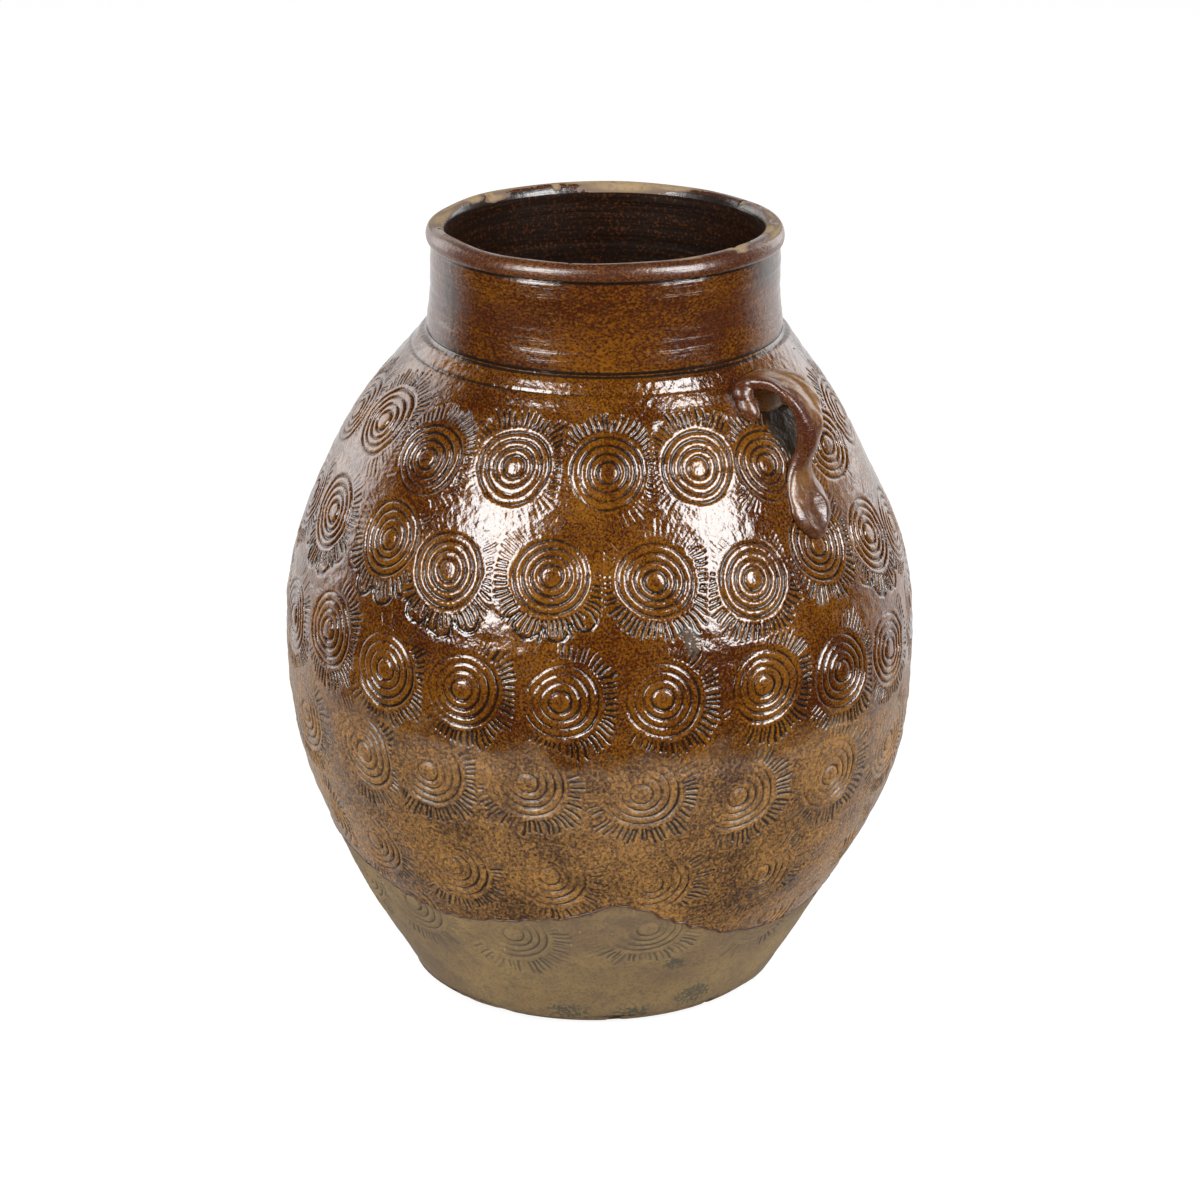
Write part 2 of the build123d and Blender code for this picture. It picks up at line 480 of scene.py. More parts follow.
STAMP_FACE = StampFace()
STAMP_ROWS = (
    StampRow(((-44, 393), (-25, 400), (-3, 391), (20, 396), (42, 395), (63, 394), (81, 389), (104, 386),
              (122, 394)), 21.0, Fan.ALL_ROUND, 0.12, 1.1, 0.75, (), 11),
    StampRow(((-46, 336), (-29, 339), (-6, 341), (10, 332), (31, 336), (51, 332), (71, 327), (89, 335),
              (107, 327), (123, 317)), 18.6, Fan.DOWNWARD, 0.15, 1.2, 1.0, (1, 2, 3, 4, 8), 12),
    StampRow(((-35, 264), (-18, 274), (-1, 264), (15, 262), (33, 260), (51, 262), (70, 262), (88, 257),
              (104, 254)), 17.4, Fan.DOWN_RIGHT, 0.35, 1.2, 1.0, (), 13),
    StampRow(((-28, 206), (-7, 202), (8, 202), (27, 204), (47, 198), (65, 188), (86, 186), (107, 185)),
             19.3, Fan.DOWN_RIGHT, 0.7, 1.1, 0.95, (), 14),
    StampRow(((-29, 130), (-11, 131), (10, 133), (30, 135), (50, 128), (74, 123), (99, 116)),
             21.3, Fan.RIGHT, 1.05, 1.0, 0.7, (), 15),
    StampRow(((-26, 92), (-6, 87), (21, 82), (51, 90), (82, 80)),
             27.0, Fan.DOWN_RIGHT, 0.95, 0.85, 0.65, (), 16),
)


# The body's skin
@dataclass(frozen=True)
class GlazeLines:
    """Where the dips of glaze end, by turn and height, the spots that the kiln and use left, and the painted
    shade with a dark deposit under the ears' loops.
    """

    edge: tuple[Pair, ...] = (
        (-40, 116), (-20, 105), (-1, 91), (13, 91), (27, 98), (38, 106), (43, 112.5), (50, 106), (62, 88),
        (75, 75), (92, 70), (120, 82), (150, 98), (185, 112), (215, 96), (250, 90), (285, 106))
    dip: tuple[Pair, ...] = (
        (-40, 246), (-2, 242), (15, 238), (26, 234), (43, 229), (57, 234), (75, 230), (100, 236), (135, 228),
        (170, 243), (205, 231), (240, 226), (280, 240))
    dark_smears: tuple[Spot, ...] = (
        (-24, 484, 1.7, 15), (-19, 480, 1.2, 17), (106, 494, 7.0, 7), (196, 488, 2.6, 13),
        (250, 476, 1.4, 18), (150, 300, 2.0, 12), (228, 268, 1.5, 14))
    amber_drips: tuple[Spot, ...] = (
        (63, 222, 3.5, 6), (54, 231, 4.5, 7), (34, 224, 3.0, 6), (73, 216, 2.5, 7), (22, 228, 3.0, 5),
        (8, 229, 3.5, 6), (-14, 236, 4, 6), (150, 220, 4, 9), (212, 224, 3, 8), (262, 219, 5, 8))
    grey_drips: tuple[Spot, ...] = (
        (56.8, 296, 1.1, 8), (55.6, 303, 1.5, 3), (166, 300, 1.4, 9))
    ear_shade_and_deposit_spots: tuple[Spot, ...] = ((94.5, 408, 8.6, 23), (-97.5, 409, 7.6, 21))
    moss: tuple[Spot, ...] = (
        (32, 13, 4.5, 5), (71, 19, 4.5, 6), (52, 10, 4.0, 3.5), (60, 55, 2.2, 4), (160, 14, 5.0, 5),
        (226, 20, 4.0, 6), (300, 12, 6.0, 4))


def blotches(turns: Array, heights: Array, spots: tuple[Spot, ...]) -> Array:
    """Soft spots on a surface.

    Args:
        turns: turn of each column.
        heights: height of each row, or of each grid place.
        spots: turn, height, half width in degrees and half height of each spot.

    Returns:
        A mask from 0 to 1.
    """
    rows = heights if heights.ndim > 1 else heights[:, None]
    total = np.zeros(np.broadcast_shapes(rows.shape, (1, len(turns))))
    for turn, height, half_width, half_height in spots:
        aside = degrees_from(turn, turns)[None, :] / half_width
        total = np.maximum(total, np.exp(-0.5 * (aside ** 2 + ((rows - height) / half_height) ** 2)))
    return total


class BodySkin:
    """The outside of the body from the base to the neck, with all its relief and marks.

    Attributes:
        columns: how many columns go round.
        row_steps: distance between rows at the foot, up to the first lap, to the second and to the neck.
        skin_start, stamped_start: heights where the skin and its stamped part begin.
        glaze_thickness: thickness of one coat.
        cuts: height, half width and depth of the two turned lines.
        waver, stroke_sway: bumps that move the strokes' ends, and their share in the strokes' angle.
        ring_waver, press_waver: bumps of the rings' places and of how firm the stamps were pressed.
        unpressed: distance from a stamp's middle that stands for no stamp.
        disc_lead, stroke_lead: how far a disc and a full stroke win over a farther stamp's.
        stroke_slip: how far a stroke stands off its even place, as a share of the strokes' spacing.
        scallop_depth: depth of the scalloped outline as a share of a stroke's.
        edge_ragged, runs: bumps of the lower and of the upper dip's end.
        drips_drop, strokes_drop: how far a drip and a stroke shift the end of the upper dip.
        hollow_flat: how far the relief is flattened under the ears' loops, where shade and a dark deposit are
            painted.
        roll_share, thick_share: thickness of the glaze's end and of the second coat, in coats.
        dents, turned, peel: the hand's dents, the turned rings and the orange peel.
        lap_length: length of the sunken end that goes under the neck.
    """

    columns = 1440
    row_steps = (2.0, 1.05, 0.95, 0.95)
    skin_start = 7.0
    stamped_start = 50.0
    glaze_thickness = 0.35
    cuts = ((444.4, 1.5, 1.1), (434.6, 1.3, 0.8))
    waver = Bumps(1.0, 9, 9, 190, 23)
    stroke_sway = 0.014
    ring_waver = Bumps(0.16, 17, 17, 190, 24)
    press_waver = Bumps(0.16, 14, 14, 190, 25)
    unpressed = 60.0
    disc_lead = 100.0
    stroke_lead = 8.0
    stroke_slip = 0.34
    scallop_depth = 0.9
    edge_ragged = Bumps(0.7, 7, 7, 170, 21)
    runs = Bumps(2.0, 16, 40, 205, 22)
    drips_drop = 9.0
    strokes_drop = 4.0
    hollow_flat = 0.85
    roll_share = 0.5
    thick_share = 0.5
    dents = Bumps(0.7, 95, 70, 200, 31, 24)
    turned = Bumps(0.12, 700, 9, 200, 32, 24)
    peel = Bumps(0.05, 5.0, 5.0, 195, 33)
    lap_length = 6.0

    def __init__(self, lines: GlazeLines) -> None:
        """Lays out the grid, presses the stamps and works out the marks."""
        self.turns = even_turns(self.columns)
        heights = (self.skin_start, self.stamped_start, SIZES.lower_lap_height, SIZES.upper_lap_height,
                   SIZES.body_height)
        marks = [float(OUTSIDE.reach(height)) for height in heights]
        runs, self.band_rows = [], [0]
        for low, high, step in zip(marks[:-1], marks[1:], self.row_steps):
            count = round((high - low) / step)
            runs.append(np.linspace(low, high, count, endpoint=False))
            self.band_rows.append(self.band_rows[-1] + count)
        self.run = np.concatenate([*runs, [marks[-1]]])
        self.radius, self.height, self.out_r, self.out_h = OUTSIDE.at(self.run)
        self.relief = np.zeros((len(self.run), self.columns))
        self.marks: dict[str, Array] = {}
        self.press_stamps()
        self.cut_lines()
        self.pour_glaze(lines)
        self.shape_surface()

    def press_stamps(self) -> None:
        """Presses every stamp into the clay, each place taking the stamp that was pressed hardest there."""
        shape, face = self.relief.shape, STAMP_FACE
        best, second, press = np.full(shape, 1000.0), np.full(shape, 1000.0), np.zeros(shape)
        distance, angle, scallop = np.full(shape, self.unpressed), np.zeros(shape), np.zeros(shape)
        firm, fringe, depth = np.zeros(shape), np.zeros(shape), np.ones(shape)
        for number, stamp in enumerate(stamp for row in STAMP_ROWS for stamp in row.stamps()):
            middle = OUTSIDE.reach(stamp.height)
            rows = np.flatnonzero(np.abs(self.run - middle) < stamp.reach)
            aside = degrees_from(stamp.turn, self.turns)
            columns = np.flatnonzero(np.abs(np.radians(aside)) * self.radius[rows].min() < stamp.reach)
            across = np.radians(aside[columns])[None, :] * self.radius[rows][:, None]
            upward = np.broadcast_to((self.run[rows] - middle)[:, None], across.shape)
            far, way = stamp.local(across, upward, face.disc_radius)
            strength = stamp.fringe(way)
            score = far - np.where(far < face.stroke_start, self.disc_lead, self.stroke_lead * strength)
            window = np.ix_(rows, columns)
            wins = score < best[window]
            second[window] = np.where(wins, best[window], np.minimum(second[window], score))
            below = smooth_step(np.cos(way + math.pi / 2), 0.45, 0.8) * stamp.scalloped
            news = ((best, score), (distance, far), (angle, way + 2 * stamp.twist),
                    (firm, stamp.firm(far, way)), (fringe, strength), (scallop, below),
                    (depth, stamp.row.depth), (press, number))
            for field_values, new in news:
                field_values[window] = np.where(wins, new, field_values[window])
        waver = self.waver.over(self.turns, self.run)
        angle += self.stroke_sway * waver
        distance += self.ring_waver.over(self.turns, self.run) * smooth_step(distance, 5, 12)
        firm = np.clip(firm * (1 + self.press_waver.over(self.turns, self.run)), 0, 1.1)
        relief = face.disc(distance, firm, depth)
        strength, growth, slip = face.uneven(angle, press)
        angle += self.stroke_slip * slip * 2 * math.pi / face.stroke_count * (distance > face.disc_radius)
        fringe = fringe * strength * face.ends(distance, growth, waver) * smooth_step(second - best, 0, 4)
        scalloped = self.scallop_depth * scallop * face.scallops(distance, angle)
        strokes = np.maximum(face.strokes(distance, angle) * fringe, scalloped)
        self.relief += relief - face.stroke_depth * strokes
        self.marks["stamp_x"] = distance * np.cos(angle)
        self.marks["stamp_y"] = distance * np.sin(angle)
        self.marks["firm"] = firm * (distance < face.disc_radius)
        self.marks["fringe"] = fringe
        self.marks["pool"] = scalloped

    def cut_lines(self) -> None:
        """Cuts the two turned lines on the shoulder."""
        fade = 0.55 + 0.45 * np.cos(np.radians(self.turns - VIEW_TURN + 95))[None, :]
        waver = 0.5 * np.sin(np.radians(self.turns * 2 + 40))[None, :]
        for (height, half_width, depth), share in zip(self.cuts, (1.0, fade)):
            apart = (self.run - OUTSIDE.reach(height))[:, None] - waver
            line = trough(apart, half_width) * share
            self.relief -= depth * line
            self.marks["pool"] = np.maximum(self.marks["pool"], line)

    def pour_glaze(self, lines: GlazeLines) -> None:
        """Marks how far each place lies over the ends of the two dips of glaze."""
        edge = OUTSIDE.reach(round_wave(self.turns, lines.edge))
        dip = OUTSIDE.reach(round_wave(self.turns, lines.dip))
        ragged = self.edge_ragged.over(self.turns, self.run)
        self.marks["edge"] = self.run[:, None] - edge[None, :] + ragged
        runs = self.runs.over(self.turns, self.run)
        drips = self.drips_drop * blotches(self.turns, self.height, lines.amber_drips)
        self.marks["dip"] = self.run[:, None] - dip[None, :] + runs + drips
        self.marks["dip"] += self.strokes_drop * self.marks["fringe"]
        for name, spots in (("stain", lines.dark_smears), ("ash", lines.grey_drips), ("moss", lines.moss)):
            self.marks[name] = blotches(self.turns, self.height, spots)
        # Painted shade, with a dark deposit, on the wall under each ear's loop; the strokes are left out and
        # the relief is flattened there
        self.marks["ear_shade_and_deposit"] = smooth_step(blotches(self.turns, self.height, lines.ear_shade_and_deposit_spots), 0.56, 0.66)
        for name in ("pool", "firm", "fringe"):
            self.marks[name] = self.marks[name] * (1 - self.marks["ear_shade_and_deposit"])
        self.relief *= 1 - self.hollow_flat * self.marks["ear_shade_and_deposit"]
        glazed = smooth_step(self.marks["edge"], -0.8, 0.8)
        roll = bell(self.marks["edge"] - 1.2, 1.1)
        thick = smooth_step(self.marks["dip"], -5, 5)
        coats = glazed + self.roll_share * roll + self.thick_share * thick
        self.relief += self.glaze_thickness * coats

    def shape_surface(self) -> None:
        """Adds the hand's unevenness, the turned rings and the orange peel, and finds points and normals."""
        self.relief += sum(bumps.over(self.turns, self.run) for bumps in (self.dents, self.turned, self.peel))
        join = smooth_step(self.run, OUTSIDE.length - self.lap_length, OUTSIDE.length)[:, None]
        self.relief = self.relief * (1 - join) - LAP_SINK * join
        last = self.relief[-1]
        last[1::2] = 0.5 * (last[0::2] + np.roll(last[0::2], -1))
        radius = self.radius[:, None] + self.out_r[:, None] * self.relief
        height = self.height[:, None] + self.out_h[:, None] * self.relief
        self.points = place(self.turns[None, :], radius, height)
        self.normals = grid_normals(self.points, inward=False)


# Mesh making
def new_object(name: str, data: bpy.types.ID) -> Piece:
    """Makes an object and puts it in the scene."""
    made = bpy.data.objects.new(name, data)
    bpy.context.scene.collection.objects.link(made)
    return made


def settled_mesh(source: Piece) -> bpy.types.Mesh:
    """The plain mesh that an object's modifiers make. The object itself is removed."""
    graph = bpy.context.evaluated_depsgraph_get()
    mesh = bpy.data.meshes.new_from_object(source.evaluated_get(graph), depsgraph=graph)
    bpy.data.objects.remove(source)
    return mesh


def set_marks(mesh: bpy.types.Mesh, marks: dict[str, Array]) -> None:
    """Keeps values on a mesh's vertices, by attribute name."""
    for name, values in marks.items():
        layer = mesh.attributes.new(name, "FLOAT", "POINT")
        layer.data.foreach_set("value", np.asarray(values, np.float32))


@dataclass
class MeshParts:
    """Vertices, faces and their layout, gathered before a mesh is made."""

    points: list[Array] = field(default_factory=list)
    normals: list[Array] = field(default_factory=list)
    quads: list[Array] = field(default_factory=list)
    quad_uvs: list[Array] = field(default_factory=list)
    quad_materials: list[Array] = field(default_factory=list)
    quad_smooth: list[Array] = field(default_factory=list)
    caps: list[list[int]] = field(default_factory=list)
    cap_uvs: list[Array] = field(default_factory=list)
    marks: dict[str, list[Array]] = field(default_factory=dict)
    count: int = 0

    def add_grid(self, points: Array, normals: Array, marks: dict[str, Array]) -> Array:
        """Adds a grid of vertices and returns their numbers.

        Args:
            points: rows by columns of places in metres.
            normals: the direction that each place faces.
            marks: values by attribute name, in the same layout.

        Returns:
            Rows by columns of vertex numbers.
        """
        numbers = self.count + np.arange(points.shape[0] * points.shape[1]).reshape(points.shape[:2])
        self.points.append(points.reshape(-1, 3))
        self.normals.append(normals.reshape(-1, 3))
        for name, values in marks.items():
            self.marks.setdefault(name, []).append(np.ravel(values))
        self.count += numbers.size
        return numbers

    def add_quads(self, a: Array, b: Array, uv_a: Array, uv_b: Array, material: int, smooth: bool) -> None:
        """Adds the faces between two lines of vertices, or between all rows of two shifted grids.

        Args:
            a, b: numbers of the near and the far vertices, with faces wound a, next a, next b, b.
            uv_a, uv_b: the layout at those vertices.
            material: material slot of the faces.
            smooth: whether the faces shade smoothly.
        """
        quads = np.stack([a[..., :-1], a[..., 1:], b[..., 1:], b[..., :-1]], axis=-1).reshape(-1, 4)
        layout = np.stack([uv_a[..., :-1, :], uv_a[..., 1:, :], uv_b[..., 1:, :], uv_b[..., :-1, :]], axis=-2)
        self.quads.append(quads)
        self.quad_uvs.append(layout.reshape(-1, 2))
        self.quad_materials.append(np.full(len(quads), material))
        self.quad_smooth.append(np.full(len(quads), smooth))

    def add_cap(self, numbers: Array, layout: Array) -> None:
        """Adds one flat face with many corners."""
        self.caps.append([int(n) for n in numbers])
        self.cap_uvs.append(layout)

    def build(self, name: str, materials: list[Material]) -> Piece:
        """Makes the object from all that was gathered."""
        quads = np.concatenate(self.quads)
        mesh = bpy.data.meshes.new(name)
        mesh.from_pydata(np.concatenate(self.points).tolist(), [], quads.tolist() + self.caps)
        layer = mesh.uv_layers.new(name=UV_NAME)
        layout = np.concatenate([*self.quad_uvs, *self.cap_uvs]).astype(np.float32)
        layer.data.foreach_set("uv", layout.ravel())
        slots = np.concatenate([*self.quad_materials, np.zeros(len(self.caps), int)])
        smooth = np.concatenate([*self.quad_smooth, np.zeros(len(self.caps), bool)])
        mesh.polygons.foreach_set("material_index", slots.astype(np.int32))
        mesh.polygons.foreach_set("use_smooth", smooth)
        set_marks(mesh, {mark: np.concatenate(values) for mark, values in self.marks.items()})
        mesh.update()
        mesh.normals_split_custom_set_from_vertices(np.concatenate(self.normals).tolist())
        for material in materials:
            mesh.materials.append(material)
        return new_object(name, mesh)


def layout_grid(rows: int, columns: int, box: Spot) -> Array:
    """A grid of layout places that fills a box of left, bottom, right and top."""
    left, bottom, right, top = box
    u, v = np.meshgrid(np.linspace(left, right, columns), np.linspace(bottom, top, rows))
    return np.stack([u, v], axis=-1)


def round_faces(rows: int, columns: int) -> tuple[Array, Array]:
    """Vertex numbers of a grid that closes on itself, and its faces by row and column."""
    numbers = np.arange(rows * columns).reshape(rows, columns)
    ahead = np.roll(numbers, -1, axis=1)
    return numbers, np.stack([numbers[:-1], numbers[1:], ahead[1:], ahead[:-1]], axis=-1)


def round_trend(points: Array, axis: int = 1) -> Array:
    """Direction from the neighbour behind to the one ahead, on a grid that closes on itself."""
    return np.roll(points, -1, axis=axis) - np.roll(points, 1, axis=axis)


def grid_normals(points: Array, inward: bool) -> Array:
    """Directions that a closed round grid faces, from its neighbours."""
    normals = np.cross(round_trend(points), np.gradient(points, axis=0))
    normals /= np.maximum(np.linalg.norm(normals, axis=2, keepdims=True), 1e-12)
    return -normals if inward else normals


class Quarter(Enum):
    """The four sides that a wall band is split into, by the turn at which each begins."""

    front = -5.0
    right = 85.0
    back = 175.0
    left = 265.0


@dataclass
class WallBand:
    """One luted band of the body, from one lap to the next, as four closed quarters.

    Attributes:
        node: name of its solid.
        slot: its material slot.
        first_row, last_row: rows of the skin between which it lies.
        low, high: heights between which its inside lies.
        inner_rows: rows of its inside.
        skin: the body's outside.
        rings: the throwing rings on its inside.
        outer_box, inner_box, lap_boxes: where the faces lie on the texture's sheet.
        side_strips, strip_height: where the cut sides lie on it.
    """

    node: str
    slot: str
    first_row: int
    last_row: int
    low: float
    high: float
    inner_rows: int
    skin: BodySkin
    rings: Bumps = Bumps(0.35, 900, 7, 180, 41, 32)
    outer_box: Spot = (0.01, 0.24, 0.99, 0.99)
    inner_box: Spot = (0.01, 0.06, 0.99, 0.21)
    lap_boxes: tuple[Spot, Spot] = ((0.01, 0.005, 0.99, 0.012), (0.01, 0.017, 0.99, 0.024))
    side_strips: Pair = (0.030, 0.042)
    strip_height: float = 0.007

    def lining(self) -> tuple[Array, Array]:
        """Points and normals of the band's inside."""
        start, end = (float(INSIDE.reach(height)) for height in (self.low, self.high))
        run = np.linspace(start, end, self.inner_rows)
        radius, height, out_r, out_h = INSIDE.at(run)
        rings = self.rings.over(self.skin.turns, run)
        fade = np.clip(np.minimum(run - start, end - run) / 6, 0, 1)[:, None]
        points = place(self.skin.turns[None, :], radius[:, None] + rings * fade, height[:, None])
        return points, grid_normals(points, inward=True)

    def quarter(self, side: Quarter, lining: tuple[Array, Array], materials: list[Material]) -> Piece:
        """Makes one closed quarter of the band."""
        skin = self.skin
        share = skin.columns // 4
        first = round(side.value / 360 * skin.columns)
        columns = np.arange(first, first + share + 1) % skin.columns
        rows = slice(self.first_row, self.last_row + 1)
        parts = MeshParts()
        marks = {name: values[rows][:, columns] for name, values in skin.marks.items()}
        outer = parts.add_grid(skin.points[rows][:, columns], skin.normals[rows][:, columns], marks)
        inner_marks = {name: np.zeros((self.inner_rows, share + 1)) for name in skin.marks}
        inner = parts.add_grid(lining[0][:, columns], lining[1][:, columns], inner_marks)
        outer_uv = layout_grid(*outer.shape, self.outer_box)
        inner_uv = layout_grid(*inner.shape, self.inner_box)
        parts.add_quads(outer[:-1], outer[1:], outer_uv[:-1], outer_uv[1:], 0, True)
        parts.add_quads(inner[1:], inner[:-1], inner_uv[1:], inner_uv[:-1], 1, True)
        for box, (start, end) in zip(self.lap_boxes, ((inner[0], outer[0]), (outer[-1], inner[-1]))):
            parts.add_quads(start, end, *layout_grid(2, share + 1, box), 1, False)
        left, _, right, _ = self.outer_box
        ways = np.linspace(left, right, len(outer)), np.linspace(right, left, len(inner))
        for edge, low, way in zip((0, -1), self.side_strips, (1, -1)):
            loop = np.concatenate([outer[:, edge], inner[::-1, edge]])
            upward = np.repeat([low, low + self.strip_height], [len(outer), len(inner)])
            layout = np.stack([np.concatenate(ways), upward], axis=1)
            parts.add_cap(loop[::way], layout[::way])
        return parts.build(f"{self.node}_{side.name}", materials)

    def build(self, materials: list[Material]) -> list[Piece]:
        """Makes the four quarters and hands them to the frame."""
        lining = self.lining()
        made = [self.quarter(side, lining, materials) for side in Quarter]
        for piece in made:
            dress(piece, self.slot, self.node)
        return made


def dress(piece: Piece, slot: str, *nodes: str) -> None:
    """Puts a finished piece on the jar's body, in place of its solids."""
    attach(piece, BODY)
    for node in nodes:
        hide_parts(node)
    log.info("%s: %d faces", piece.name, len(piece.data.polygons))


@dataclass
class TurnedRing:
    """A closed ring that the wheel made: its section is swept once round the axis.

    Attributes:
        name: name of the piece, which is also its solid's name.
        section: radius and height of the section, up the outside and down the inside.
        flat_from: places of the section from which the next stretch is a hidden lap.
        outer_count: how many rows of faces, from the section's start, have the outside finish.
        columns: how many columns go round.
    """

    name: str
    section: Array
    flat_from: tuple[int, ...]
    outer_count: int
    columns: int = 720

    def build(self, materials: list[Material], marks: dict[str, Array], relief: Array) -> Piece:
        """Makes the ring.

        Args:
            materials: the outside finish and the inside finish.
            marks: values by attribute name, one per section place and column.
            relief: how far each place stands out along the section's normal.

        Returns:
            The ring's object.
        """
        turns = even_turns(self.columns)
        direction = round_trend(self.section, 0)
        direction /= np.linalg.norm(direction, axis=1, keepdims=True)
        radius = self.section[:, :1] + direction[:, 1:] * relief
        height = self.section[:, 1:] - direction[:, :1] * relief
        points = place(turns[None, :], radius, height)
        along = round_trend(points)
        normals = np.cross(along, round_trend(points, 0))
        for index in self.flat_from:
            for row, other in ((index, index - 1), (index + 1, index + 2)):
                step = points[row % len(points)] - points[other % len(points)]
                step = step if row == index else -step
                normals[row % len(points)] = np.cross(along[row % len(points)], step)
        normals /= np.maximum(np.linalg.norm(normals, axis=2, keepdims=True), 1e-12)
        parts = MeshParts()
        numbers = parts.add_grid(points, normals, marks)
        closed = np.concatenate([numbers, numbers[:1]])
        quarter = self.columns // 4
        for side in range(4):
            columns = np.arange(side * quarter, (side + 1) * quarter + 1) % self.columns
            box = (0.01, side / 4 + 0.005, 0.99, (side + 1) / 4 - 0.005)
            layout = layout_grid(len(closed), quarter + 1, box)
            for row in range(len(closed) - 1):
                flat = row in self.flat_from
                material = 0 if row < self.outer_count else 1
                parts.add_quads(closed[row][columns], closed[row + 1][columns], layout[row], layout[row + 1],
                                material, not flat)
        return parts.build(self.name, materials)


def neck_marks(blank: Array, **marks: Array) -> dict[str, Array]:
    """All the marks that the neck's glaze reads, those not given being zero everywhere."""
    return dict.fromkeys(("pool", "stain", "red", "pale", "wear"), blank) | marks


def section_line(corners: list[Pair], step: float) -> Array:
    """Evenly spaced places along straight runs between corners."""
    places = []
    for (r0, h0), (r1, h1) in zip(corners[:-1], corners[1:]):
        count = max(round(math.hypot(r1 - r0, h1 - h0) / step), 1)
        share = np.arange(count)[:, None] / count
        places.append(np.array([r0, h0]) * (1 - share) + np.array([r1, h1]) * share)
    return np.concatenate([*places, [corners[-1]]])


def smooth_line(corners: list[Pair], step: float) -> Array:
    """Evenly spaced places along a smooth line through corners."""
    points = np.array(corners, float)
    knots = run_along(points)
    return spline_values(knots, points, np.linspace(0, knots[-1], max(round(knots[-1] / step), 2) + 1))


# Node tree making
class Value:
    """An output of a node tree, which others and numbers can be added to, taken from and multiplied with."""

    def __init__(self, write: "NodeTree", socket: bpy.types.NodeSocket) -> None:
        """Keeps the socket with the writer of its tree."""
        self.write, self.socket = write, socket

    def __add__(self, other: object) -> "Value":
        """A sum."""
        return self.write.math("ADD", self, other)

    def __sub__(self, other: object) -> "Value":
        """A difference."""
        return self.write.math("SUBTRACT", self, other)

    def __rsub__(self, other: float) -> "Value":
        """A number less this output."""
        return self.write.math("SUBTRACT", other, self)

    def __mul__(self, other: object) -> "Value":
        """A product."""
        return self.write.math("MULTIPLY", self, other)


class NodeTree:
    """A short way to write a node tree: each call adds a node and links its inputs."""

    def __init__(self, tree: bpy.types.NodeTree) -> None:
        """Wraps a tree."""
        self.tree = tree

    def add(self, kind: str, inputs: dict[str | int, object] | None = None, **settings: object
            ) -> bpy.types.Node:
        """Adds a node.

        Args:
            kind: the node's type name.
            inputs: numbers or outputs of other nodes, by input name or number.
            settings: properties of the node.

        Returns:
            The node.
        """
        node = self.tree.nodes.new(kind)
        for name, value in settings.items():
            setattr(node, name, value)
        for key, value in (inputs or {}).items():
            self.feed(node.inputs[key], value)
        return node

    def feed(self, socket: bpy.types.NodeSocket, value: object) -> None:
        """Links an output to a socket, or sets the socket's own value."""
        if isinstance(value, Value):
            self.tree.links.new(value.socket, socket)
        else:
            socket.default_value = value

    def out(self, kind: str, inputs: dict[str | int, object] | None = None, output: str | int = 0,
            **settings: object) -> Value:
        """Adds a node and gives one of its outputs."""
        return Value(self, self.add(kind, inputs, **settings).outputs[output])

    def values(self, node: bpy.types.Node) -> dict[str, Value]:
        """A node's outputs by name."""
        return {socket.name: Value(self, socket) for socket in node.outputs}

    def give(self, out: bpy.types.Node, **values: Value) -> bpy.types.NodeTree:
        """Feeds a group's outputs and gives the finished group."""
        for name, value in values.items():
            self.feed(out.inputs[name], value)
        return self.tree

    def use(self, effect: bpy.types.NodeTree, vector: Value, **sizes: float) -> dict[str, Value]:
        """Places an effect's group, with sizes of its own, and gives its outputs by name."""
        return self.values(self.add("ShaderNodeGroup", {"Vector": vector, **sizes}, node_tree=effect))

    def math(self, operation: str, a: object, b: object = 0.0, clamp: bool = False) -> Value:
        """A sum, product or other step on two values."""
        return self.out("ShaderNodeMath", {0: a, 1: b}, operation=operation, use_clamp=clamp)

    def spread(self, value: object, low: object, high: object, to_low: float = 0.0, to_high: float = 1.0
               ) -> Value:
        """Maps a range smoothly onto another."""
        inputs = {"Value": value, "From Min": low, "From Max": high, "To Min": to_low, "To Max": to_high}
        return self.out("ShaderNodeMapRange", inputs, "Result", interpolation_type="SMOOTHSTEP")

    def blend(self, share: object, a: object, b: object) -> Value:
        """Mixes two colours."""
        return self.out("ShaderNodeMix", {0: share, 6: a, 7: b}, 2, data_type="RGBA")

    def layers(self, base: object, *coats: tuple[Value, object]) -> Value:
        """Lays colours over a base in turn, each by its own share."""
        for share, colour in coats:
            base = self.blend(share, base, colour)
        return base

    def noise(self, vector: Value, scale: object, detail: float = 2.0, roughness: float = 0.5,
              distortion: float = 0.0) -> Value:
        """Noise from 0 to 1."""
        return self.out("ShaderNodeTexNoise", {"Vector": vector, "Scale": scale, "Detail": detail,
                                               "Roughness": roughness, "Distortion": distortion}, "Fac")

    def mark(self, name: str) -> Value:
        """The value of one of the mesh's marks."""
        return self.out("ShaderNodeAttribute", output="Fac", attribute_name=name)

    def place(self) -> Value:
        """Place on the object, in metres."""
        return self.out("ShaderNodeTexCoord", output="Object")

    def stretch(self, vector: Value, x: float, y: float, z: float) -> Value:
        """A vector with its parts multiplied."""
        return self.out("ShaderNodeVectorMath", {0: vector, 1: (x, y, z)}, operation="MULTIPLY")

    def settled(self, geometry: Value, finish: Value) -> Value:
        """Ends a geometry tree: real faces that shade smoothly, in one material."""
        real = self.out("GeometryNodeRealizeInstances", {"Geometry": geometry})
        smooth = self.out("GeometryNodeSetShadeSmooth", {"Geometry": real})
        return self.out("GeometryNodeSetMaterial", {"Geometry": smooth, "Material": finish})


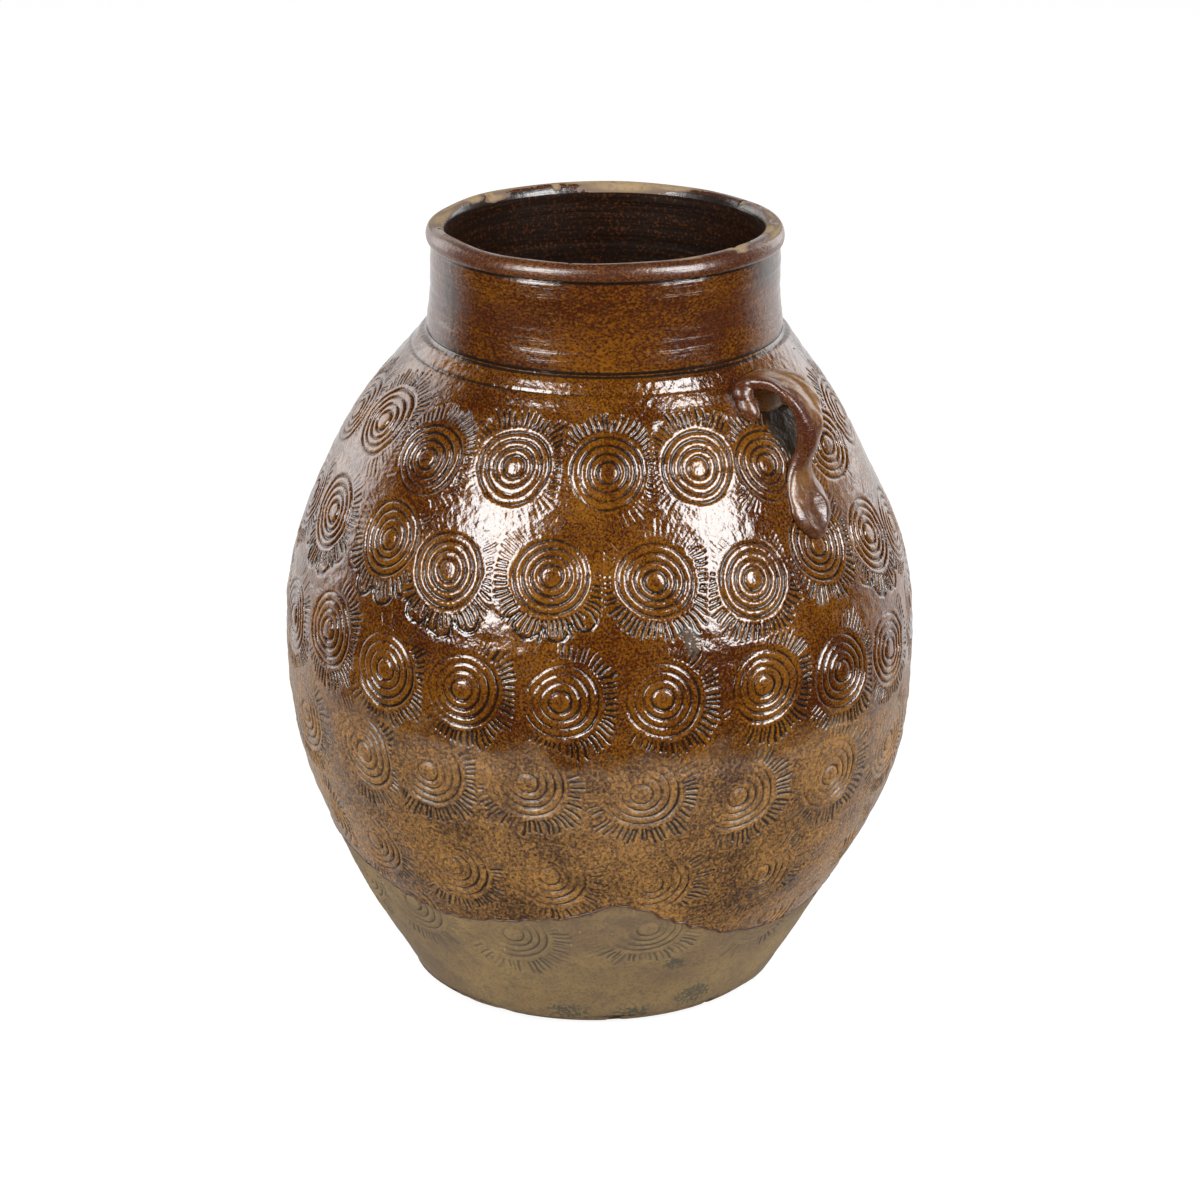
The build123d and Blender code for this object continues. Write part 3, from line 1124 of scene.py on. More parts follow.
def group(name: str, inputs: dict[str, tuple[str, object]], outputs: dict[str, str],
          kind_of_tree: str = "ShaderNodeTree") -> tuple[NodeTree, dict[str, Value], bpy.types.Node]:
    """Starts a node group.

    Args:
        name: name of the group.
        inputs: socket type and first value by input name.
        outputs: socket type by output name.
        kind_of_tree: type name of the group.

    Returns:
        The group's writer, its inputs by name, and its output node.
    """
    tree = bpy.data.node_groups.new(name, kind_of_tree)
    for label, (kind, value) in inputs.items():
        socket = tree.interface.new_socket(label, in_out="INPUT", socket_type=kind)
        if value is not None:
            socket.default_value = value
    for label, kind in outputs.items():
        tree.interface.new_socket(label, in_out="OUTPUT", socket_type=kind)
    write = NodeTree(tree)
    return write, write.values(write.add("NodeGroupInput")), write.add("NodeGroupOutput")


def effect(name: str, sizes: dict[str, float], outputs: tuple[str, ...]
           ) -> tuple[NodeTree, dict[str, Value], bpy.types.Node]:
    """Starts the group of an effect that finishes share, from a place and some sizes to some masks."""
    inputs = {label: (FLOAT, value) for label, value in sizes.items()}
    return group(name, {"Vector": ("NodeSocketVector", None), **inputs}, dict.fromkeys(outputs, FLOAT))


class Effects:
    """The surface effects that several finishes share, each as one node group."""

    def __init__(self) -> None:
        """Builds the groups once."""
        self.speckle = self.speckle_group()
        self.peel = self.peel_group()
        self.turning = self.turning_group()
        self.wear = self.wear_group()

    @staticmethod
    def speckle_group() -> bpy.types.NodeTree:
        """Mottling of an iron glaze: fine specks in loose clouds, and soft vertical streaks."""
        write, given, out = effect("glaze_speckle", {"Grain": 520.0, "Density": 0.5, "Contrast": 0.09},
                                   ("Specks", "Clouds", "Streaks", "Cool"))
        here, grain, contrast = given["Vector"], given["Grain"], given["Contrast"]
        clouds = write.noise(here, 26.0, 4.0, 0.6)
        level = given["Density"] - clouds * 0.36 + 0.18
        specks = write.spread(write.noise(here, grain, 5.0, 0.78), level - contrast, level + contrast)
        streaks = write.noise(write.stretch(here, 1, 1, 0.07), 330.0, 3.0, 0.6)
        return write.give(out, Specks=specks, Clouds=write.spread(clouds, 0.36, 0.66),
                          Streaks=write.spread(streaks, 0.4, 0.66),
                          Cool=write.spread(write.noise(here, grain * 0.8), 0.6, 0.7))

    @staticmethod
    def peel_group() -> bpy.types.NodeTree:
        """Orange peel of a thick glaze, with fine pits, as a height."""
        write, given, out = effect("orange_peel", {"Size": 260.0}, ("Height",))
        here, size = given["Vector"], given["Size"]
        pits = write.out("ShaderNodeTexVoronoi", {"Vector": here, "Scale": size * 1.5}, "Distance")
        waves = write.noise(here, size) + write.noise(here, size * 3.4) * 0.12
        return write.give(out, Height=waves + write.spread(pits, 0.0, 0.22) * 0.18)

    @staticmethod
    def turning_group() -> bpy.types.NodeTree:
        """Level lines that the potter's fingers left as the pot turned."""
        write, given, out = effect("turning_lines", {"Pace": 420.0}, ("Lines",))
        lines = write.noise(write.stretch(given["Vector"], 0.035, 0.035, 1), given["Pace"], 4.0, 0.65, 0.1)
        return write.give(out, Lines=write.spread(lines, 0.3, 0.7))

    @staticmethod
    def wear_group() -> bpy.types.NodeTree:
        """Rubbed patches, grit pits and fine scratches of bare clay."""
        write, given, out = effect("clay_wear", {"Grit": 700.0}, ("Patches", "Pits", "Scratches"))
        here = given["Vector"]
        slanted = write.out("ShaderNodeMapping", {"Vector": here, "Rotation": (0.5, 0.3, 0.9),
                                                  "Scale": (1.0, 1.0, 0.05)})
        scratches = write.spread(write.noise(slanted, 420.0, 2.0, 0.4), 0.70, 0.75)
        return write.give(out, Patches=write.spread(write.noise(here, 18.0, 5.0, 0.62), 0.34, 0.68),
                          Pits=write.spread(write.noise(here, given["Grit"], 3.0, 0.7), 0.62, 0.72),
                          Scratches=scratches * write.spread(write.noise(here, 30.0), 0.5, 0.6))


def new_material(name: str) -> tuple[Material, NodeTree, Value]:
    """Starts a material and returns it with its writer and the place on the object."""
    material = bpy.data.materials.new(name)
    material.use_nodes = True
    write = NodeTree(material.node_tree)
    return material, write, write.place()


def set_surface(material: Material, colour: Value, rough: Value, height: Value, bump: Pair,
                **constants: float) -> Material:
    """Feeds a material's shader.

    Args:
        material: the material.
        colour, rough, height: what changes over the surface.
        bump: strength of the height's bump, and its depth in metres.
        constants: the shader's plain values, by input name with low lines for spaces.

    Returns:
        The material.
    """
    write, shader = NodeTree(material.node_tree), material.node_tree.nodes["Principled BSDF"]
    normal = write.out("ShaderNodeBump", {"Height": height, "Strength": bump[0], "Distance": bump[1]})
    write.feed(shader.inputs["Base Color"], colour)
    write.feed(shader.inputs["Roughness"], rough)
    write.feed(shader.inputs["Normal"], normal)
    for name, value in constants.items():
        shader.inputs[name.replace("_", " ")].default_value = value
    return material


@dataclass(frozen=True)
class StampedSkin:
    """The outside finish: two dips of amber iron glaze over bare clay.

    Attributes:
        speckle: grain, density and contrast of the glaze's specks.
        fine_scale, middle_scale, wide_scale, fleck_scale, wrinkle_scale: waves of noise per metre.
        edge_ragged: how far small noise moves the lower end of the glaze.
        dip_ragged, dip_wavy: how far small and middling noise move the end of the upper dip.
        light_freckles, dark_freckles: two levels of fine noise, and the shares in which the lower coat is
            lightened or darkened at them.
        dull_rough, gloss_rough, clay_rough: roughness of the lower coat, the upper coat and the clay.
    """

    ochre: Colour = tone(160, 100, 10)
    red_brown: Colour = tone(80, 32, 3)
    umber: Colour = tone(34, 14, 6)
    dull_ochre: Colour = tone(218, 150, 32)
    dull_brown: Colour = tone(66, 33, 6)
    dull_violet: Colour = tone(78, 46, 34)
    # Painted shade with a dark deposit, for the wall under the ears' loops
    ear_shade_and_deposit: Colour = tone(58, 52, 40)
    cool_fleck: Colour = tone(112, 92, 92)
    pooled: Colour = tone(27, 24, 18)
    edge_line: Colour = tone(96, 46, 24)
    clay_light: Colour = tone(168, 132, 56)
    clay_dark: Colour = tone(138, 103, 42)
    clay_stain: Colour = tone(104, 74, 36)
    clay_groove: Colour = tone(84, 68, 44)
    ash: Colour = tone(104, 92, 78)
    moss: Colour = tone(84, 74, 26)
    scratch: Colour = tone(186, 172, 140)
    speckle: Triple = (640.0, 0.52, 0.13)
    peel_size: float = 380.0
    fine_scale: float = 420.0
    middle_scale: float = 75.0
    wide_scale: float = 11.0
    fleck_scale: float = 1000.0
    wrinkle_scale: float = 150.0
    edge_ragged: float = 2.6
    dip_ragged: float = 30.0
    dip_wavy: float = 26.0
    light_freckles: Spot = (0.51, 0.57, 0.0, 0.3)
    dark_freckles: Spot = (0.48, 0.42, 0.0, 0.45)
    dull_rough: float = 0.44
    gloss_rough: float = 0.1
    clay_rough: float = 0.86
    bump: Pair = (0.5, 0.0005)
    refraction: float = 2.2

    def stamp(self, write: NodeTree, jitter: Value) -> tuple[Value, Value]:
        """Fine grooves of the stamps, drawn from each place's distance and angle in its stamp.

        Args:
            write: the material's writer.
            jitter: small noise round zero.

        Returns:
            The groove mask and the ridge mask.
        """
        face = STAMP_FACE
        x, y, firm, fringe = (write.mark(name) for name in ("stamp_x", "stamp_y", "firm", "fringe"))
        distance = write.math("SQRT", x * x + y * y)
        apart = write.math("PINGPONG", distance - face.first_ring, face.ring_pitch / 2)
        blurred = apart + (1.0 - firm) * 1.1 + jitter * 1.1
        groove = write.spread(blurred, face.groove_half_width - 0.2, 0.3) * write.spread(firm, 0.1, 0.5)
        groove = groove * write.spread(distance, face.first_ring - 1.6, face.first_ring - 0.9)
        ridge = write.spread(apart, 0.8, 1.6) * firm
        phase = write.math("ARCTAN2", y, x) * (face.stroke_count / (2 * math.pi))
        aside = write.math("PINGPONG", phase, 0.5) * distance * (2 * math.pi / face.stroke_count)
        aside = aside + jitter * 1.3
        strokes = write.spread(aside, face.stroke_half_width, 0.4) * write.spread(fringe, 0.1, 0.6)
        between = write.spread(aside, 0.8, 1.4) * fringe
        return write.math("MAXIMUM", groove, strokes), write.math("MAXIMUM", ridge, between)

    def upper_coat(self, write: NodeTree, specks: dict[str, Value], even: Value, fleck: Value) -> Value:
        """Colour of the rich, glossy upper dip, from its specks, its ochre share and its dark flecks."""
        wide = write.spread(write.noise(write.place(), self.wide_scale), 0.35, 0.7, 0.0, 0.25)
        ochre_share = write.math("SUBTRACT", even, wide, clamp=True)
        return write.layers(self.red_brown, (ochre_share, self.ochre), (fleck, self.umber),
                            (specks["Cool"] * 0.4, self.cool_fleck))

    def lower_coat(self, write: NodeTree, specks: dict[str, Value], even: Value, fleck: Value, fine: Value,
                   low: Value) -> Value:
        """Colour of the dull lower dip; low is its share far above the glaze's end."""
        dark = write.blend(low, self.dull_brown, self.dull_violet)
        return write.layers(dark, (even, self.dull_ochre), (fleck * 0.75, self.umber),
                            (write.spread(fine, *self.light_freckles), self.dull_ochre),
                            (write.spread(fine, *self.dark_freckles), self.dull_brown),
                            (specks["Clouds"] * low * 0.12, self.dull_violet),
                            (specks["Streaks"] * 0.22, self.dull_brown))

    def clay(self, write: NodeTree, wear: dict[str, Value], fine: Value, middling: Value, pool: Value
             ) -> Value:
        """Colour of the bare clay, with its stains, pits, scratches and moss."""
        moss = write.mark("moss") * write.spread(fine, 0.35, 0.6)
        return write.layers(self.clay_dark, (wear["Patches"], self.clay_light),
                            (write.spread(middling, -0.04, 0.2, 0.0, 0.45), self.clay_stain),
                            (write.spread(fine - 0.5, -0.03, 0.12, 0.0, 0.45), self.clay_stain),
                            (wear["Pits"] * 0.8, self.clay_groove), (pool * 0.85, self.clay_groove),
                            (wear["Scratches"] * 0.6, self.scratch),
                            (write.spread(moss, 0.15, 0.5, 0.0, 0.9), self.moss))

    def build(self, effects: Effects) -> Material:
        """Makes the material."""
        material, write, here = new_material("stamped_amber_skin")
        grain, density, contrast = self.speckle
        specks = write.use(effects.speckle, here, Grain=grain, Density=density, Contrast=contrast)
        wear, turning = write.use(effects.wear, here), write.use(effects.turning, here)
        peel = write.use(effects.peel, here, Size=self.peel_size)
        fine = write.noise(here, self.fine_scale, 3.0, 0.6)
        jitter, middling = fine - 0.5, write.noise(here, self.middle_scale, 3.0, 0.6) - 0.5
        edge = write.mark("edge") + jitter * self.edge_ragged
        dip = write.mark("dip") + jitter * self.dip_ragged + middling * self.dip_wavy
        glazed, rich = write.spread(edge, -0.5, 0.5), write.spread(dip, -19.0, 11.0)
        groove, ridge = self.stamp(write, jitter)
        pool = write.math("MAXIMUM", groove, write.spread(write.mark("pool") + jitter * 0.5, 0.25, 0.7))

        even = write.math("ADD", specks["Specks"], ridge * 0.3, clamp=True)
        fleck = write.spread(write.noise(here, self.fleck_scale), 0.54, 0.66, 0.0, 0.8)
        dull = self.lower_coat(write, specks, even, fleck, fine, write.spread(dip, -110.0, -15.0))
        ash = write.mark("ash") * write.spread(fine, 0.3, 0.5, 0.4, 1.0)
        # The last layer paints shade, with a dark deposit, on the wall under the ears' loops
        glaze = write.layers(dull, (rich, self.upper_coat(write, specks, even, fleck)),
                             (turning["Lines"] * 0.16, self.umber),
                             (write.spread(ash, 0.25, 0.6, 0.0, 0.8), self.ash),
                             (write.mark("stain") * 0.85, self.pooled), (pool * 0.88, self.pooled),
                             (write.mark("ear_shade_and_deposit") * 0.85, self.ear_shade_and_deposit))
        rim_line = write.spread(edge, -0.8, 0.3) * write.spread(edge, 2.6, 0.8)
        colour = write.layers(self.clay(write, wear, fine, middling, pool), (glazed, glaze),
                              (rim_line * 0.75, self.edge_line))
        sheen = write.spread(rich, 0.0, 1.0, self.dull_rough, self.gloss_rough) + specks["Clouds"] * 0.04
        rough = sheen * glazed + (1.0 - glazed) * self.clay_rough
        clay_height = fine - wear["Pits"] * 1.2 - wear["Scratches"]
        glaze_height = peel["Height"] + jitter * 0.15 + write.noise(here, self.wrinkle_scale) * 1.7
        height = glaze_height * glazed + clay_height * (1.0 - glazed) - groove * 1.6
        return set_surface(material, colour, rough, height, self.bump, IOR=self.refraction)


@dataclass(frozen=True)
class NeckGlaze:
    """Glossy amber glaze of the neck, the rim and the ears, worn to buff clay on the lip.

    Attributes:
        name: name of the material.
        light, dark: colours of the specks and of the ground.
        line_share: how strongly the turned lines show.
        flat_specks: stretch of the specks round the jar, 1 for none.
        gloss_roughness: roughness where nothing is worn.
        speckle: grain, density and contrast of the specks.
    """

    name: str
    light: Colour
    dark: Colour
    line_share: float
    flat_specks: float = 1.0
    gloss_roughness: float = 0.15
    worn: Colour = tone(176, 142, 84)
    worn_dark: Colour = tone(124, 90, 54)
    pooled: Colour = tone(26, 21, 15)
    cool_fleck: Colour = tone(98, 72, 66)
    umber: Colour = tone(42, 17, 9)
    plum: Colour = tone(78, 34, 22)
    dark_red: Colour = tone(84, 32, 10)
    # Beige of dry glaze on the ears' top faces and tails, also used for the painted highlight on their far
    # edges
    dry_beige_and_highlight: Colour = tone(150, 108, 58)
    speckle: Triple = (700.0, 0.54, 0.13)
    bump: Pair = (0.55, 0.0004)
    refraction: float = 2.1

    def build(self, effects: Effects) -> Material:
        """Makes the material."""
        material, write, here = new_material(self.name)
        level = write.stretch(here, self.flat_specks, self.flat_specks, 1.0)
        grain, density, contrast = self.speckle
        specks = write.use(effects.speckle, level, Grain=grain, Density=density, Contrast=contrast)
        kinds = (effects.peel, effects.turning, effects.wear)
        peel, turning, wear = (write.use(kind, here) for kind in kinds)
        fine = write.noise(here, 300.0, 4.0, 0.65)
        jitter, wear_mark = fine - 0.5, write.mark("wear")
        fleck = write.spread(write.noise(level, 1100.0), 0.56, 0.68, 0.0, 0.7)
        clouds = write.noise(write.stretch(here, 0.5, 0.5, 1), 30.0, 3.0, 0.6)
        clouds = write.spread(clouds, 0.45, 0.65, 0.0, 0.55)
        pool = write.spread(write.mark("pool") + jitter * 0.5, 0.25, 0.8)
        red = write.mark("red") * write.spread(specks["Specks"], 0.0, 1.0, 0.95, 0.55)
        # pale lightens the ears' dry top faces and tails, and paints a highlight along their far edges
        pale = write.mark("pale") * write.spread(fine, 0.2, 0.6, 0.35, 0.9)
        worn = write.spread(wear_mark + jitter * 1.1, 0.42, 0.58)
        buff = write.layers(self.worn_dark, (write.spread(wear_mark, 0.6, 1.05), self.worn),
                            (wear["Patches"] * 0.3, self.worn_dark),
                            (write.spread(jitter, 0.0, 0.16, 0.0, 0.6), self.worn_dark))
        colour = write.layers(self.dark, (specks["Specks"], self.light), (fleck, self.umber),
                              (clouds, self.plum), (specks["Cool"] * 0.35, self.cool_fleck),
                              (turning["Lines"] * self.line_share, self.dark),
                              (write.mark("stain") * 0.8, self.pooled), (pool * 0.9, self.pooled),
                              (red, self.dark_red), (pale, self.dry_beige_and_highlight), (worn, buff))
        rough = worn * 0.6 + self.gloss_roughness
        height = peel["Height"] + turning["Lines"] * 0.5 - worn * 0.8
        return set_surface(material, colour, rough, height, self.bump, IOR=self.refraction)


@dataclass(frozen=True)
class InnerGlaze:
    """Thin, very dark glaze inside the jar, with the turning lines showing through."""

    light: Colour = tone(108, 58, 18)
    dark: Colour = tone(28, 14, 6)
    grain: float = 700.0
    roughness: float = 0.5
    gloss_level: float = 0.1
    bump: Pair = (0.5, 0.0005)

    def build(self, effects: Effects) -> Material:
        """Makes the material."""
        material, write, here = new_material("dark_inner_glaze")
        specks = write.use(effects.speckle, here, Grain=self.grain)
        lines = write.use(effects.turning, here)["Lines"]
        peel = write.use(effects.peel, here)["Height"]
        sparse = write.spread(write.noise(here, 480.0, 3.0, 0.6), 0.52, 0.66, 0.0, 0.75)
        share = sparse * write.spread(lines, 0.0, 1.0, 0.25, 1.0) + lines * 0.08
        colour = write.blend(share, self.dark, self.light)
        rough, gloss = specks["Clouds"] * 0.14 + self.roughness, {"Specular_IOR_Level": self.gloss_level}
        return set_surface(material, colour, rough, peel + lines, self.bump, **gloss)


@dataclass(frozen=True)
class GritFinish:
    """Pale, half melted grains."""

    light: Colour = tone(196, 184, 160)
    dark: Colour = tone(120, 100, 74)
    roughness: Pair = (0.35, 0.5)
    bump: Pair = (0.5, 0.0002)

    def build(self, effects: Effects) -> Material:
        """Makes the material."""
        material, write, here = new_material("kiln_grit_finish")
        apart = write.noise(here, 160.0, 2.0, 0.6)
        colour = write.layers(self.dark, (write.spread(apart, 0.42, 0.58), self.light),
                              (write.use(effects.wear, here)["Pits"] * 0.5, self.dark))
        return set_surface(material, colour, write.spread(apart, 0.3, 0.7, *self.roughness), apart, self.bump)


# The neck
@dataclass
class Neck:
    """The turned collar over the shoulder, with its lines and smears."""

    lines: GlazeLines
    step: float = 1.2
    groove_height: float = 502.3
    foot_line_height: float = 446.4
    bumps: tuple[Bumps, ...] = (Bumps(0.13, 800, 3.2, 114, 51, 32), Bumps(0.5, 90, 40, 114, 52, 16))

    def build(self, outside: Material, inside: Material) -> Piece:
        """Makes the collar as one closed ring."""
        s = SIZES
        corners = [(s.neck_root_radius - LAP_SINK, s.body_height), (115.3, 451), (114.3, 462), (113.6, 480),
                   (113.3, 497), (s.neck_top_radius - NECK_WALL_INSET, s.neck_top_height)]
        outer = smooth_line(corners, self.step)
        corners = [(s.mouth_radius, s.neck_top_height), (s.mouth_radius, s.body_height)]
        inner = section_line(corners, self.step)
        section = np.concatenate([outer, inner])
        ring = TurnedRing("neck_collar", section, (len(outer) - 1, len(section) - 1), len(outer))
        turns = even_turns(ring.columns)
        height = section[:, 1]
        shape = (len(section), ring.columns)
        outside_rows = (np.arange(len(section)) < len(outer))[:, None]
        apart = np.minimum(height - s.body_height, s.neck_top_height - height)
        hold = smooth_step(apart, 0, 3)[:, None]
        relief = sum(bumps.over(turns, height) for bumps in self.bumps)
        waver = 0.3 * np.sin(np.radians(3 * turns))[None, :]
        groove = trough(height[:, None] - self.groove_height - waver, 1.4) * outside_rows
        foot_line = trough(height[:, None] - self.foot_line_height, 1.6) * outside_rows
        marks = neck_marks(np.zeros(shape), pool=np.maximum(groove, foot_line) * np.ones(shape),
                           stain=blotches(turns, height, self.lines.dark_smears) * outside_rows)
        relief = relief * hold - 0.3 * groove
        made = ring.build([outside, inside], marks, relief)
        dress(made, GLAZED_SLOT, "neck_collar")
        return made


@dataclass
class Rim:
    """The rolled lip, worn to bare clay along its crest."""

    step: float = 0.8
    inner_start: float = 509.0
    crest_radius: float = 108.6
    crest_half_width: float = 2.0
    bumps: tuple[Bumps, ...] = (Bumps(0.18, 40, 12, 112, 61, 24), Bumps(0.35, 120, 60, 112, 62, 12))
    ragged: Bumps = Bumps(0.2, 14, 6, 112, 63, 32)
    rubbed_share: float = 0.56
    rubbed: Bumps = Bumps(0.24, 26, 9, 112, 64, 24)
    chip_radius: float = 106.5
    chip_half_width: float = 2.6
    chip_depth: float = 0.9
    pale_patches: tuple[Spot, ...] = (
        (213, 512, 13, 3.6), (-96, 511.5, 4, 1.6), (90, 512, 2.2, 2.5), (-58, 513, 12, 1.0),
        (118, 513, 14, 0.9), (196, 513.5, 6, 1.5), (-86, 513.4, 3, 1.2))
    chips: tuple[Pair, ...] = (
        (90, 1.1), (-94, 1.2), (162, 0.9), (28, 0.6), (-40, 0.7), (238, 1.0), (121, 0.8))

    def build(self, outside: Material, inside: Material) -> Piece:
        """Makes the lip as one closed ring."""
        s = SIZES
        section = smooth_line([
            (s.neck_top_radius - NECK_WALL_INSET, s.neck_top_height), (114.3, 503.5), (115.5, 505.0),
            (s.rim_radius, 507.4), (115.3, 510.3), (113.4, 512.9), (110.6, 514.3), (108.6, s.jar_height),
            (106.2, 513.9), (104.3, 512.0), (103.2, 508.8), (s.mouth_radius, 505.6),
            (s.mouth_radius, s.neck_top_height)], self.step)
        inner_start = int(np.flatnonzero((section[:, 0] < 106) & (section[:, 1] < self.inner_start))[0])
        ring = TurnedRing("rim_roll", section, (len(section) - 1,), inner_start)
        turns = even_turns(ring.columns)
        radius, height = section[:, :1], section[:, 1:]
        run = run_along(section)
        relief = sum(bumps.over(turns, run) for bumps in self.bumps)
        hold = smooth_step(np.minimum(run, run[-1] - run), 0, 3)[:, None]
        crest = bell(radius - self.crest_radius, self.crest_half_width) * smooth_step(height, 508, 512)
        ragged = self.ragged.over(turns, run)
        patches = blotches(turns, height[:, 0], self.pale_patches) * smooth_step(115 - radius, 0, 2)
        rubbed = self.rubbed_share + self.rubbed.over(turns, run)
        chips = np.zeros((len(section), ring.columns))
        for turn, size in self.chips:
            aside = degrees_from(turn, turns)[None, :] / (1.3 * size)
            inward = (radius - self.chip_radius) / self.chip_half_width
            chip = np.exp(-aside ** 4 - inward ** 4) * (height > 508) * size
            chips = np.maximum(chips, chip)
        under = 0.8 * bell(height - 503.2, 0.8) * (radius > 110)
        inner_dark = smooth_step(105.4 - radius, 0, 0.9) * (1 - np.clip(1.6 * patches, 0, 1))
        marks = neck_marks(np.zeros_like(chips), pool=np.maximum(under * np.ones_like(chips), inner_dark),
                           wear=np.clip(rubbed * crest + ragged * crest + 1.1 * patches + chips, 0, 1.4))
        made = ring.build([outside, inside], marks, relief * hold - self.chip_depth * chips)
        dress(made, GLAZED_SLOT, "rim_roll")
        return made


@dataclass
class Base:
    """The slab under the body: its worn resting face and rounded edge."""

    lines: GlazeLines
    top: float = 7.0
    step: float = 1.3
    chips: tuple[Pair, ...] = (
        (47, 2.2), (80, 1.2), (-10, 1.0), (135, 1.8), (205, 2.4), (262, 1.3), (310, 1.9))
    chip_radius: float = 116.0
    chip_half_width: float = 3.6
    chip_depth: float = 2.2
    rough: Bumps = Bumps(0.25, 9, 9, 117, 71)

    def build(self, skin: Material, inside: Material) -> Piece:
        """Makes the slab as one closed ring round a small middle."""
        s = SIZES
        radius, height, _, _ = (float(value) for value in OUTSIDE.at(OUTSIDE.reach(self.top)))
        under = section_line([(2.0, 0.6), (60.0, 0.5), (107.4, 0.0)], 6.0)
        corners = [(107.4, 0.0), (111.2, 0.5), (114.7, 1.9), (117.6, 4.0), (radius, height)]
        edge = smooth_line(corners, self.step)[1:]
        top = section_line([(s.foot_radius - 5, s.base_thickness), (2.0, s.base_thickness)], 8.0)
        section = np.concatenate([under, edge, top])
        bend = len(under) + len(edge) - 1
        ring = TurnedRing("base_disc", section, (bend, len(section) - 1), bend + 1)
        turns = even_turns(ring.columns)
        reach = section[:, :1]
        chips = np.zeros((len(section), ring.columns))
        for turn, size in self.chips:
            aside = degrees_from(turn, turns)[None, :] / size
            inward = (reach - self.chip_radius) / self.chip_half_width
            chips = np.maximum(chips, np.exp(-aside ** 4) * np.exp(-inward ** 4))
        chips[bend:] = 0
        rows = np.arange(len(section))[:, None]
        rough = self.rough.over(turns, section[:, 0] + section[:, 1]) * (rows < bend)
        rough *= smooth_step(bend - rows, 0, 3)
        marks = dict.fromkeys(("stain", "stamp_y", "firm", "fringe", "ash", "ear_shade_and_deposit"), np.zeros_like(chips))
        moss = blotches(turns, section[:, 1], self.lines.moss) * (rows <= bend)
        marks |= {"pool": 0.9 * chips, "moss": moss}
        for name, value in (("edge", -60.0), ("dip", -200.0), ("stamp_x", BodySkin.unpressed)):
            marks[name] = np.full_like(chips, value)
        made = ring.build([skin, inside], marks, np.minimum(rough, 0) - self.chip_depth * chips)
        dress(made, CLAY_SLOT, "base_disc")
        return made


